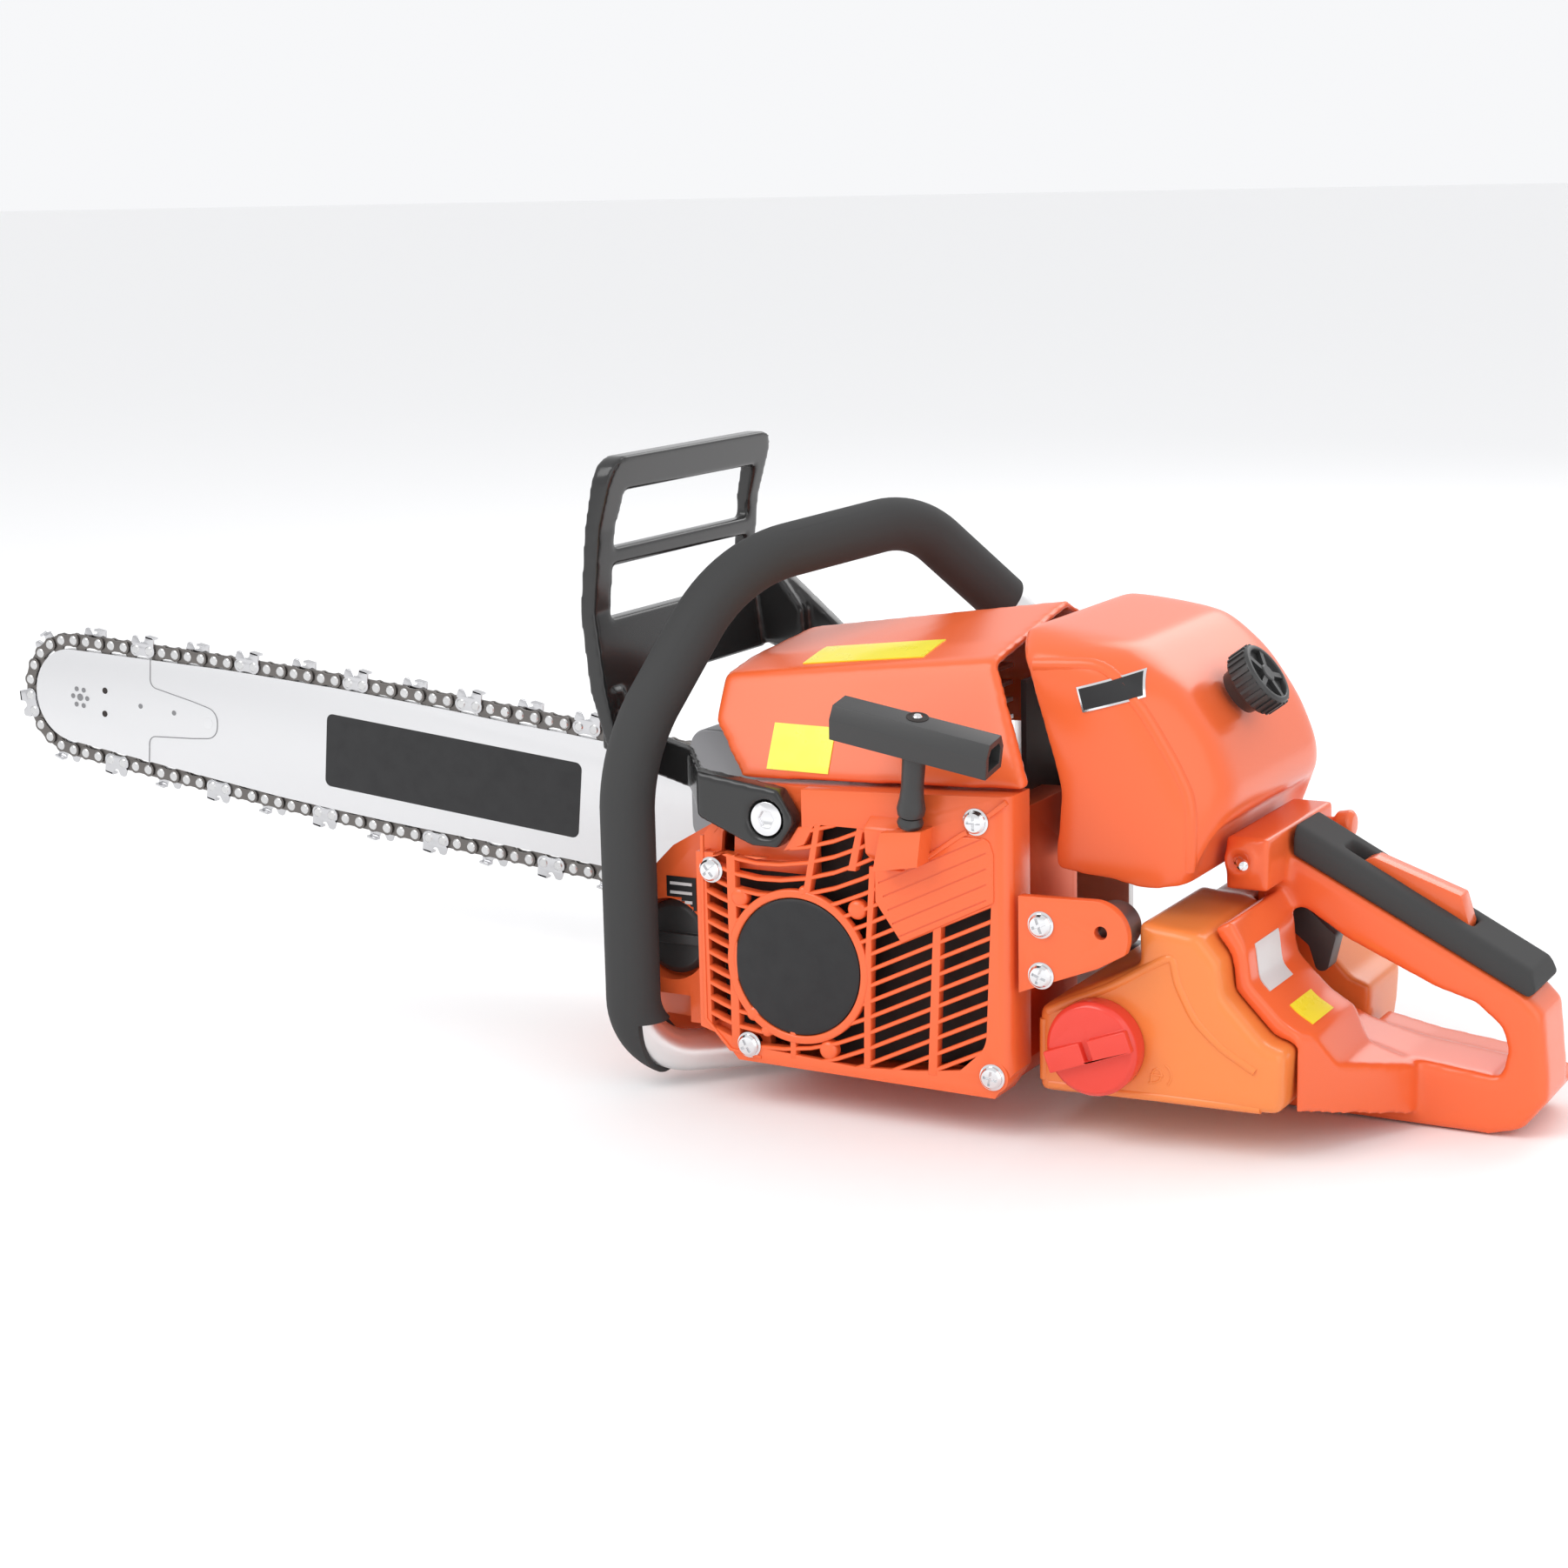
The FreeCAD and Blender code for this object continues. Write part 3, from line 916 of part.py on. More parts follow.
def make_clutch():
    drum = new_body("clutch_drum", ("0", "bar_y + 5", "crank_z"), facing(RIGHT))
    turned(drum, "8.3, -8; 9.8, -8; 9.8, 0; drum_radius, 0; drum_radius, 18; drum_radius - drum_wall, 18;"
                 "drum_radius - drum_wall, drum_wall; 8.3, drum_wall")
    rim = new_body("rim_sprocket", *BAR_PLACE)
    slab(rim, "XZ", "-3.5", "3.5", circles=["0, 0, rim_radius - 4.8", "0, 0, 10"])
    # seven pockets that take the tips of the drive links
    tooth = slab(rim, "XZ", "-link_thick / 2 - 0.4", "link_thick / 2 + 0.4",
                 "10.9, -3.8; rim_radius - 4.6, -6.2; rim_radius - 4.6, 6.2; 10.9, 3.8", cut=True)
    doc.recompute()
    polar(rim, tooth, 7, tooth.Profile[0])
    hub = new_body("clutch_hub", ("0", "bar_y + 8.5", "crank_z"), facing(RIGHT))
    slab(hub, "XY", "0", "12", circles=["0, 0, 15", "0, 0, 8"])
    arm = slab(hub, "XY", "1", "11", "-4, 14; 4, 14; 4, 30; -4, 30")
    doc.recompute()
    polar(hub, arm, 3, arm.Profile[0])
    shoes = []
    for i in range(3):
        shoe = doc.addObject("PartDesign::Body", "clutch_shoe_%d" % i)
        place(shoe, ("0", "bar_y + 8.5", "crank_z"), facing(RIGHT))
        shoe.Label = "clutch_shoe_%d" % i
        turn = i * 120 + 90
        inner = [("21", turn + a) for a in (16, 38, 60, 82, 104)]
        outer = [("(drum_radius - 4)", turn + a) for a in (110, 90, 70, 50, 30, 10)]
        slab(shoe, "XY", "1", "11", "; ".join(
            "{0} * cos({1}), {0} * sin({1})".format(radius, angle) for radius, angle in inner + outer))
        shoes.append(shoe)
    group("clutch_shoes", shoes)
    band = new_body("brake_band", ("0", "bar_y + 8", "crank_z"), facing(RIGHT))
    slab(band, "XY", "0", "12", circles=["0, 0, drum_radius + 2", "0, 0, drum_radius + 0.8"])


def make_clutch_cover():
    """A shell over the drum with a clamping pad round the studs; chips leave through its open underside."""
    body = new_body("clutch_cover")
    slab(body, "XZ", "bar_y + 4", "cover_y",
         "-104, 24; 30, 24; 56, 44; 62, 74; 56, 104; 30, 118; -20, 121; -104, 112")
    soften(body, "9", lambda e: on_level("Y", "cover_y")(e))
    slab(body, "XZ", "case_half + gap", "bar_y + 5",
         "0, 22; 30, 22; 56, 44; 62, 74; 56, 104; 30, 118; -20, 121; -34, 119; -34, 116; -20, 118; 28, 115;"
         "53, 102; 59, 74; 53, 44; 28, 24; 0, 24")
    slab(body, "XZ", "bar_y + 3", "cover_y - cover_wall",
         "-101, 20; 28, 20; 53, 44; 59, 74; 53, 102; 28, 115; -20, 118; -101, 109", cut=True)
    slab(body, "XZ", "bar_y + bar_thick / 2 + gap / 2", "cover_y - 1",
         "-stud_near - stud_step - 14, -16; 14 - stud_near, -16; 14 - stud_near, 16; -stud_near - stud_step - 14, 16",
         origin=("0", "crank_z + stud_near * sin(bar_tilt)"))
    spots = stud_spots()
    drill(body, "XZ", "bar_y", "cover_y", *["%s, %s, stud_radius + 0.3" % spot for spot in spots])
    drill(body, "XZ", "cover_y - 8", "cover_y", *["%s, %s, 10" % spot for spot in spots])


def stud_spots():
    """The bar studs as x and z texts."""
    return [("-(%s) * cos(bar_tilt)" % run, "crank_z + (%s) * sin(bar_tilt)" % run)
            for run in ("stud_near", "(stud_near + stud_step)")]


def make_bar_fasteners():
    studs, nuts = [], []
    for i, (x, z) in enumerate(stud_spots()):
        start = "case_half - case_wall"
        studs.append(rod("bar_stud_%d" % i, "stud_radius", "cover_y - 1 - (%s)" % start, (x, start, z), RIGHT))
        nut = hexagon("nut_body_%d" % i, "8", "6.5", (x, "cover_y - 8 + gap / 4", z), RIGHT)
        bore = rod("nut_bore_%d" % i, "stud_radius", "7", (x, "cover_y - 8", z), RIGHT)
        nuts.append(cut_from("bar_nut_%d" % i, nut, bore))
    group("bar_studs", studs)
    group("bar_nuts", nuts)


def make_front_metal():
    bumper = new_body("spiked_bumper")
    teeth = "-90, 36; -108, 38; -121, 46; -111, 52; -111, 58; -124, 66; -111, 72; -111, 80; -122, 90;" \
            "-108, 94; -90, 92"
    slab(bumper, "XZ", "case_half - case_wall - 3.6", "case_half - case_wall", teeth)
    stem = rod("tensioner_stem", "1.8", "34", ("-105", "case_half + 2.7", "50"), V(1, 0, 0))
    head = rod("tensioner_head", "2.2", "4", ("-109", "case_half + 2.7", "50"), V(1, 0, 0))
    keep("tensioner_screw", fused("tensioner_screw", stem, head))


# --- Bar and chain, laid out in the bar's own tilted frame ---

def bar_outline(inset):
    """Outline of the bar, set in all round, as corners with arcs."""
    nose, half, tail = ("(%s - %s)" % (word, inset) for word in ("nose_radius", "bar_half", "tail_half"))
    middle = "(bar_reach * 0.53)"
    rear = "(bar_tail + %s)" % inset
    return ("-{rear}, bar_rise - {tail} * 0.7; -{rear}, bar_rise + {tail} * 0.7; -{rear} - 16, bar_rise + {tail}, 3500;"
            "-bar_reach + {mid}, bar_rise + {half}, 3500; -bar_reach, bar_rise + {nose}, {nose};"
            "-bar_reach - {nose}, bar_rise, {nose}; -bar_reach, bar_rise - {nose}, 3500;"
            "-bar_reach + {mid}, bar_rise - {half}, 3500; -{rear} - 16, bar_rise - {tail}"
            ).format(rear=rear, tail=tail, mid=middle, half=half, nose=nose)


def make_guide_bar():
    """Bar with a groove all round, a slot for the studs and holes for oil, tensioner and nose sprocket."""
    body = new_body("guide_bar", *BAR_PLACE)
    slab(body, "XZ", "-bar_thick / 2", "bar_thick / 2", bar_outline("0"))
    slab(body, "XZ", "-groove_wide / 2", "groove_wide / 2", bar_outline("-1"), bar_outline("groove_deep"), cut=True)
    slab(body, "XZ", "-bar_thick / 2", "bar_thick / 2",
         "-stud_near - stud_step - 18, -stud_radius - 0.2; 14 - stud_near, -stud_radius - 0.2;"
         "14 - stud_near, stud_radius + 0.2; -stud_near - stud_step - 18, stud_radius + 0.2", cut=True)
    drill(body, "XZ", "-bar_thick / 2", "bar_thick / 2", "-66, bar_rise + 21, 2.5", "-66, bar_rise - 22, 3.5")
    drill(body, "XZ", "-groove_wide / 2", "groove_wide / 2", "-bar_reach, bar_rise, nose_radius")
    wheel = new_body("nose_sprocket", *BAR_PLACE)
    slab(wheel, "XZ", "-link_thick / 2", "link_thick / 2", circles=["-bar_reach, bar_rise, nose_radius - 8"])


def chain_path():
    """Closed line of the rivets: nose arc, two long arcs along the bar, and the arc round the rim."""
    rise, reach = value("bar_rise"), value("bar_reach")
    nose = value("nose_radius + rivet_rise")
    half, tail, rim = value("bar_half + rivet_rise"), value("tail_half + rivet_rise"), value("rim_radius")
    end = -value("bar_tail") - 16

    def at(x, z):
        return V(x, 0, rise + z)

    lean = math.atan2(tail - rim, -end)
    low_lean, high_lean = lean - math.atan2(rise, -end), lean + math.atan2(rise, -end)
    top = V(-rim * math.sin(high_lean), 0, rim * math.cos(high_lean))
    bottom = V(-rim * math.sin(low_lean), 0, -rim * math.cos(low_lean))
    edges = [Part.Arc(at(-reach, nose), at(-reach + reach * 0.53, half), at(end, tail)),
             Part.LineSegment(at(end, tail), top),
             Part.Arc(top, V(rim, 0, 0), bottom),
             Part.LineSegment(bottom, at(end, -tail)),
             Part.Arc(at(end, -tail), at(-reach + reach * 0.53, -half), at(-reach, -nose)),
             Part.Arc(at(-reach, -nose), at(-reach - nose, 0), at(-reach, nose))]
    return [edge.toShape() for edge in edges]


def rivet_places(edges, count):
    """Evenly stepped points of the rivets; a drive link sits at the rearmost point of the rim."""
    step = sum(edge.Length for edge in edges) / count
    rearmost = edges[0].Length + edges[1].Length + edges[2].Length / 2
    first = (rearmost - step / 2) % (2 * step)
    places, edge_start, index = [], 0.0, 0
    for i in range(count):
        run = first + i * step
        while index < len(edges) - 1 and run > edge_start + edges[index].Length:
            edge_start += edges[index].Length
            index += 1
        edge = edges[index]
        places.append(edge.valueAt(edge.getParameterByLength(run - edge_start)))
    return places


def plate(outline, holes, thick, radius):
    """A flat link in the XZ plane, from Y 0 to its thickness."""
    face = Part.Face(Part.makePolygon([V(x, 0, z) for x, z in outline + outline[:1]]))
    solid = face.extrude(V(0, thick, 0))
    for x in holes:
        solid = solid.cut(Part.makeCylinder(radius, thick, V(x, 0, 0), RIGHT))
    return solid


def make_chain():
    """Drive links between pairs of side plates; every second pair carries a cutter, left and right in turn."""
    edges = chain_path()
    pitch = value("link_pitch")
    links = round(sum(edge.Length for edge in edges) / (2 * pitch))
    spots = rivet_places(edges, 2 * links)
    half, hole = pitch / 2, value("rivet_radius") + 0.3
    thick, strap, radius = value("link_thick"), value("strap_thick"), value("rivet_radius")
    drive = plate([(-7.4, 0), (-5.5, 3.6), (5.5, 3.6), (7.4, 0), (6.5, -3.6), (3.6, -4.4), (2.2, -8.6), (0, -9.2),
                   (-2.4, -7), (-3.6, -4.2), (-6.5, -3.4)], (-half, half), thick, hole)
    tie = plate([(-8.6, 0), (-7, 3.6), (-3, 4.2), (3, 4.2), (7, 3.6), (8.6, 0), (7, -3.8), (-7, -3.8)],
                (-half, half), strap, hole)
    tooth = plate([(-9, -2), (-9, 6), (-7, 8.2), (-4, 8.2), (-2.4, 4), (0.4, 4), (1.6, 9.2), (10, 8.4), (9.6, 4),
                   (8.6, 0), (7, -3.8), (-7, -3.8)], (-half, half), strap, hole)
    roof = Part.makeBox(8, 4.2, 1.4, V(1.8, strap - 0.01, 7.2))
    rivet = Part.makeCylinder(radius, thick + 2 * strap + 1.4, V(0, -thick / 2 - strap - 0.7, 0), RIGHT)
    near, far = -thick / 2 - strap - 0.1, thick / 2 + 0.1

    def lay(solid, first, second, y):
        along_ = second - first
        copy = solid.copy()
        copy.Placement = FreeCAD.Placement((first + second) * 0.5 + V(0, y, 0),
                                           FreeCAD.Rotation(V(1, 0, 0), V(along_.x, 0, along_.z)))
        return copy

    mirror = tooth.fuse(roof).mirror(V(0, strap / 2, 0), RIGHT)
    drives, ties, cutters = [], [], []
    for i in range(links):
        a, b, c = spots[2 * i], spots[2 * i + 1], spots[(2 * i + 2) % len(spots)]
        drives.append(lay(drive, a, b, -thick / 2))
        sides = [(near, tie, ties), (far, tie, ties)]
        if i % 2 == 0:
            left = i % 4 == 0
            sides[0 if left else 1] = (near, tooth.fuse(roof), cutters) if left else (far, mirror, cutters)
        for y, solid, bin_ in sides:
            bin_.append(lay(solid, b, c, y))
    rivets = []
    for spot in spots:
        copy = rivet.copy()
        copy.Placement = FreeCAD.Placement(spot, FreeCAD.Rotation())
        rivets.append(copy)
    frame = FreeCAD.Placement(V(0, value("bar_y"), value("crank_z")), FreeCAD.Rotation(RIGHT, value("bar_tilt")))
    for label, solids in (("chain_drive_links", drives), ("chain_tie_straps", ties),
                          ("chain_cutters", cutters), ("chain_rivets", rivets)):
        thing = doc.addObject("Part::Feature", label)
        thing.Shape = Part.makeCompound(solids)
        thing.Placement = frame
        keep(label, thing)


# --- Checks, and what is written out ---

def check_document():
    """Stop if any object failed, if a cut removed nothing, or if a shape is not a sound solid."""
    doc.recompute()
    for thing in doc.Objects:
        if "Invalid" in thing.State or "Error" in thing.State:
            raise RuntimeError("failed: %s %s" % (thing.Name, thing.State))
        if thing.TypeId in ("PartDesign::Pocket", "PartDesign::Groove", "PartDesign::SubtractiveLoft"):
            if thing.BaseFeature.Shape.Volume - thing.Shape.Volume < 0.5:
                raise RuntimeError("cuts nothing: %s" % thing.Name)
    for thing in nodes:
        if thing.Shape.isNull() or not thing.Shape.isValid() or not thing.Shape.Solids:
            raise RuntimeError("no sound solid: %s" % thing.Label)


def write_parts():
    os.makedirs("parts", exist_ok=True)
    for thing in nodes:
        thing.Shape.exportStep("parts/%s.step" % thing.Label)
        print("%-22s %2d solids %10.0f mm3" % (thing.Label, len(thing.Shape.Solids), thing.Shape.Volume))


STEPS = [make_crankcase_left, make_crankcase_right, make_main_bearings, make_crankshaft, make_flywheel,
         make_cylinder, make_piston, make_muffler, make_fuel_system, make_ignition, make_oil_pump,
         make_starter_housing, make_starter_inside, make_starter_handle, make_housing_screws,
         make_cylinder_cover, make_air_cleaner_cover, make_cover_trim, make_oil_tank, make_fuel_tank,
         make_spring_mounts, make_rear_handle, make_controls, make_front_handle, make_handle_bracket,
         make_hand_guard, make_guard_pivots, make_clutch, make_clutch_cover, make_bar_fasteners,
         make_front_metal, make_guide_bar, make_chain]

fill_sheet()
for make in STEPS:
    make()
check_document()
write_parts()
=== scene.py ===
import json
import math

import bmesh
import bpy
from bpy.props import FloatProperty, FloatVectorProperty, IntProperty, PointerProperty
from mathutils.bvhtree import BVHTree
from mathutils import Euler, Matrix, Vector


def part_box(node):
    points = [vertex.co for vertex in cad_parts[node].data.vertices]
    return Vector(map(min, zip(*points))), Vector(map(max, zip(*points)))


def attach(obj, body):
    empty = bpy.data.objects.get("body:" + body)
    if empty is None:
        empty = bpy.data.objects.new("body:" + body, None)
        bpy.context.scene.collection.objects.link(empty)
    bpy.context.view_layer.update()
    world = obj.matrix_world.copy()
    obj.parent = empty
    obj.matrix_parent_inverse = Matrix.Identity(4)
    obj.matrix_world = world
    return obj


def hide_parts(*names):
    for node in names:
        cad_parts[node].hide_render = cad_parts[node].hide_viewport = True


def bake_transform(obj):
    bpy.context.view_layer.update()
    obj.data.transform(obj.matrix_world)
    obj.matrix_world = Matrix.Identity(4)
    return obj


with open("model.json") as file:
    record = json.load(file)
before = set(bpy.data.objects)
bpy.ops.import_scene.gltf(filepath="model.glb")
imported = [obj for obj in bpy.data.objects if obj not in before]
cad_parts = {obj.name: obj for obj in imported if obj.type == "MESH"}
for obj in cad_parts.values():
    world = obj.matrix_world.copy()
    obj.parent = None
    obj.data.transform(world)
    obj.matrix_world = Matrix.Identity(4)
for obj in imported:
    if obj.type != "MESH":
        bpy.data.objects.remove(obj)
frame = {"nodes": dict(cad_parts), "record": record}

bl_info = {
    "name": "Chainsaw Surfaces",
    "version": (1, 0, 0),
    "blender": (4, 5, 0),
    "location": "View3D > Sidebar > Chainsaw",
    "description": "Builds the visible surfaces of a petrol chainsaw round its packed solids",
    "category": "Object",
}

MM = 0.001
LEFT = (0, -1, 0)
CRANK_Z = 70
BAR_TILT = 5.5
BODY = "powerhead"
shown = set()


# --- Settings ---

def length(name, note, default):
    """A length in metres, given in millimetres."""
    return FloatProperty(name=name, description=note, default=default * MM, unit="LENGTH", precision=5)


def colour(name, note, default):
    return FloatVectorProperty(name=name, description=note, default=default, size=3, subtype="COLOR")


class ChainsawPaint(bpy.types.PropertyGroup):
    shell: colour("Shell", "Colour of the moulded shells", (0.64, 0.030, 0.009))
    tank: colour("Tank", "Colour of the translucent fuel tank", (0.70, 0.105, 0.014))
    cap: colour("Fuel cap", "Colour of the fuel cap", (0.62, 0.018, 0.012))
    black: colour("Black parts", "Colour of black plastic and rubber", (0.013, 0.013, 0.014))
    sticker: colour("Label", "Colour of the blank warning labels", (0.86, 0.74, 0.02))
    grain: length("Grain", "Size of the moulded surface grain", 0.7)
    wear: FloatProperty(name="Wear", description="How much the roughness varies", default=0.35, min=0, max=1)


class ChainsawChain(bpy.types.PropertyGroup):
    plate_half: length("Plate half height", "Half height of a side plate at its rivets", 4.1)
    waist: length("Plate waist", "Half height of a side plate between its rivets", 3.3)
    rivet_head: length("Rivet head", "Radius of a rivet's head", 2.9)
    edge: length("Edge round", "Rounding of the link edges", 0.25)
    gauge: length("Depth gauge", "Height of the depth gauge above the rivets", 8.4)
    cutter: length("Cutter", "Height of the top plate above the rivets", 8.6)


class ChainsawHousing(bpy.types.PropertyGroup):
    edge: length("Edge round", "Rounding of the moulded edges", 1.6)
    slat: length("Slat", "Width of a slat between two louvres", 2.6)
    slats: IntProperty(name="Slats", description="Slats across the face", default=14, min=3)
    ribs: IntProperty(name="Knob ribs", description="Ribs round the cover knob", default=26, min=6)


class ChainsawStage(bpy.types.PropertyGroup):
    lens: FloatProperty(name="Lens", description="Focal length in millimetres", default=68.19, min=1)
    key: FloatProperty(name="Key light", description="Power of the key light in watts", default=26, min=0)
    fill: FloatProperty(name="Fill light", description="Power of the fill light in watts", default=13, min=0)
    ground: colour("Floor", "Colour of the floor", (0.93, 0.93, 0.93))


def settings():
    return bpy.context.scene.chainsaw_paint


# --- Meshes ---

def link(obj):
    bpy.context.scene.collection.objects.link(obj)
    return obj


def mesh_object(name, points, faces):
    mesh = bpy.data.meshes.new(name)
    mesh.from_pydata([Vector(p) for p in points], [], faces)
    mesh.update()
    return link(bpy.data.objects.new(name, mesh))


def drop(*objects):
    for obj in objects:
        bpy.data.objects.remove(obj, do_unlink=True)


def baked(obj, name=None):
    """A new object with the modifiers of obj applied; obj is removed."""
    deps = bpy.context.evaluated_depsgraph_get()
    mesh = bpy.data.meshes.new_from_object(obj.evaluated_get(deps))
    mesh.transform(obj.matrix_world)
    result = bpy.data.objects.new(name or obj.name, mesh)
    drop(obj)
    return link(result)


def applied(obj):
    """obj with its modifiers applied, under its own name."""
    name = obj.name
    obj.name = name + "_plain"
    return baked(obj, name)


def outward(obj):
    """Turn the faces of a closed mesh outwards."""
    work = bmesh.new()
    work.from_mesh(obj.data)
    bmesh.ops.recalc_face_normals(work, faces=work.faces)
    work.to_mesh(obj.data)
    work.free()
    return obj


def joined(name, *objects):
    """One object from several; their materials stay on their faces."""
    mesh = bpy.data.meshes.new(name)
    work = bmesh.new()
    for obj in objects:
        shift = len(mesh.materials)
        for material in obj.data.materials:
            mesh.materials.append(material)
        part = obj.data.copy()
        part.transform(obj.matrix_world)
        first = len(work.faces)
        work.from_mesh(part)
        work.faces.ensure_lookup_table()
        for face in work.faces[first:]:
            face.material_index += shift
        bpy.data.meshes.remove(part)
    work.to_mesh(mesh)
    work.free()
    drop(*objects)
    return link(bpy.data.objects.new(name, mesh))


def shade(obj, angle=35):
    """Smooth shading that keeps edges sharper than an angle."""
    mesh = obj.data
    work = bmesh.new()
    work.from_mesh(mesh)
    bmesh.ops.recalc_face_normals(work, faces=work.faces)
    for face in work.faces:
        face.smooth = True
    limit = math.radians(angle)
    for edge in work.edges:
        edge.smooth = len(edge.link_faces) == 2 and edge.calc_face_angle(0) < limit
    work.to_mesh(mesh)
    work.free()
    return obj


def settle(obj, material, nodes=(), body=BODY, angle=35):
    """Give a finished piece its material and body; it stands for the CAD nodes named."""
    if material and not obj.data.materials:
        obj.data.materials.append(material)
    shade(obj, angle)
    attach(obj, body)
    names = [nodes] if isinstance(nodes, str) else list(nodes)
    shown.update(names)
    if names:
        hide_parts(*names)
    return obj


def clean_copy(node):
    """The CAD node's mesh as a new object, its flat faces made whole again so that its edges can be rounded."""
    mesh = frame["nodes"][node].data.copy()
    work = bmesh.new()
    work.from_mesh(mesh)
    bmesh.ops.remove_doubles(work, verts=work.verts, dist=0.02 * MM)
    bmesh.ops.dissolve_limit(work, angle_limit=math.radians(1.5), verts=work.verts, edges=work.edges)
    work.to_mesh(mesh)
    work.free()
    mesh.materials.clear()
    return link(bpy.data.objects.new(node + "_look", mesh))


def rounded(obj, width, segments=3, angle=28):
    """Round the edges of obj that are sharper than an angle."""
    bevel = obj.modifiers.new("round", "BEVEL")
    bevel.width = width
    bevel.segments = segments
    bevel.limit_method = "ANGLE"
    bevel.angle_limit = math.radians(angle)
    bevel.use_clamp_overlap = True
    bevel.harden_normals = False
    bevel.miter_outer = "MITER_ARC"
    return applied(obj)


def polygon(text):
    """Corners from "x, z; x, z, r; ...": r rounds that corner. All in millimetres."""
    corners = [[float(part) for part in corner.split(",")] for corner in text.split(";")]
    points = []
    for i, corner in enumerate(corners):
        here = Vector(corner[:2])
        if len(corner) < 3:
            points.append(here)
            continue
        before = (Vector(corners[i - 1][:2]) - here).normalized()
        after = (Vector(corners[(i + 1) % len(corners)][:2]) - here).normalized()
        half = before.angle(after) / 2
        centre = here + (before + after).normalized() * (corner[2] / math.sin(half))
        start = here + before * (corner[2] / math.tan(half)) - centre
        turn = math.pi - 2 * half
        side = math.copysign(1, before.cross(after))
        for k in range(7):
            points.append(centre + Matrix.Rotation(-side * turn * k / 6, 2) @ start)
    return points


def ring(x, z, radius, count=48):
    """A round outline."""
    turns = [2 * math.pi * i / count for i in range(count)]
    return [Vector((x + radius * math.cos(turn), z + radius * math.sin(turn))) for turn in turns]


def outline_plate(name, outlines, low, high, edge=0.0):
    """A plate with holes between two Y levels, from outlines in X and Z; edge rounds both its rims."""
    curve = bpy.data.curves.new(name, "CURVE")
    curve.dimensions = "2D"
    curve.fill_mode = "BOTH"
    curve.extrude = ((high - low) / 2 - edge) * MM
    curve.bevel_depth = edge * MM
    curve.bevel_resolution = 2
    curve.offset = -edge * MM
    for points in outlines:
        spline = curve.splines.new("POLY")
        spline.points.add(len(points) - 1)
        for spot, point in zip(spline.points, points):
            spot.co = (point[0] * MM, point[1] * MM, 0, 1)
        spline.use_cyclic_u = True
    obj = link(bpy.data.objects.new(name + "_curve", curve))
    obj.matrix_world = Matrix.Translation((0, (low + high) / 2 * MM, 0)) @ Matrix.Rotation(math.pi / 2, 4, "X")
    bpy.context.view_layer.update()
    result = baked(obj, name)
    work = bmesh.new()
    work.from_mesh(result.data)
    bmesh.ops.remove_doubles(work, verts=work.verts, dist=0.001 * MM)
    work.to_mesh(result.data)
    work.free()
    return result


def turned(name, profile, at, direction, count=64):
    """A closed solid of revolution from (radius, height) pairs in millimetres, along a direction."""
    points, faces = [], []
    for radius, height in profile:
        points += [(spot.x * MM, spot.y * MM, height * MM) for spot in ring(0, 0, radius, count)]
    for row in range(len(profile) - 1):
        for i in range(count):
            j = (i + 1) % count
            faces.append((row * count + i, row * count + j, (row + 1) * count + j, (row + 1) * count + i))
    faces.append(tuple(reversed(range(count))))
    faces.append(tuple(range((len(profile) - 1) * count, len(profile) * count)))
    obj = mesh_object(name, points, faces)
    turn = Vector((0, 0, 1)).rotation_difference(Vector(direction)).to_matrix().to_4x4()
    obj.data.transform(Matrix.Translation(Vector(at) * MM) @ turn)
    return obj


def box_between(name, low, high):
    """A box between two corners in millimetres."""
    points = [(x * MM, y * MM, z * MM) for x in (low[0], high[0]) for y in (low[1], high[1])
              for z in (low[2], high[2])]
    faces = [(0, 1, 3, 2), (4, 6, 7, 5), (0, 4, 5, 1), (2, 3, 7, 6), (0, 2, 6, 4), (1, 5, 7, 3)]
    return mesh_object(name, points, faces)


def carved(obj, *cutters, operation="DIFFERENCE"):
    """Cut the cutters out of obj, or with INTERSECT keep only what lies in them."""
    for cutter in cutters:
        cut = obj.modifiers.new("cut", "BOOLEAN")
        cut.object = cutter
        cut.operation = operation
        cut.solver = "EXACT"
    result = applied(obj)
    drop(*cutters)
    return result


# --- Repeating pieces: one Geometry Nodes tree places a prototype on points ---

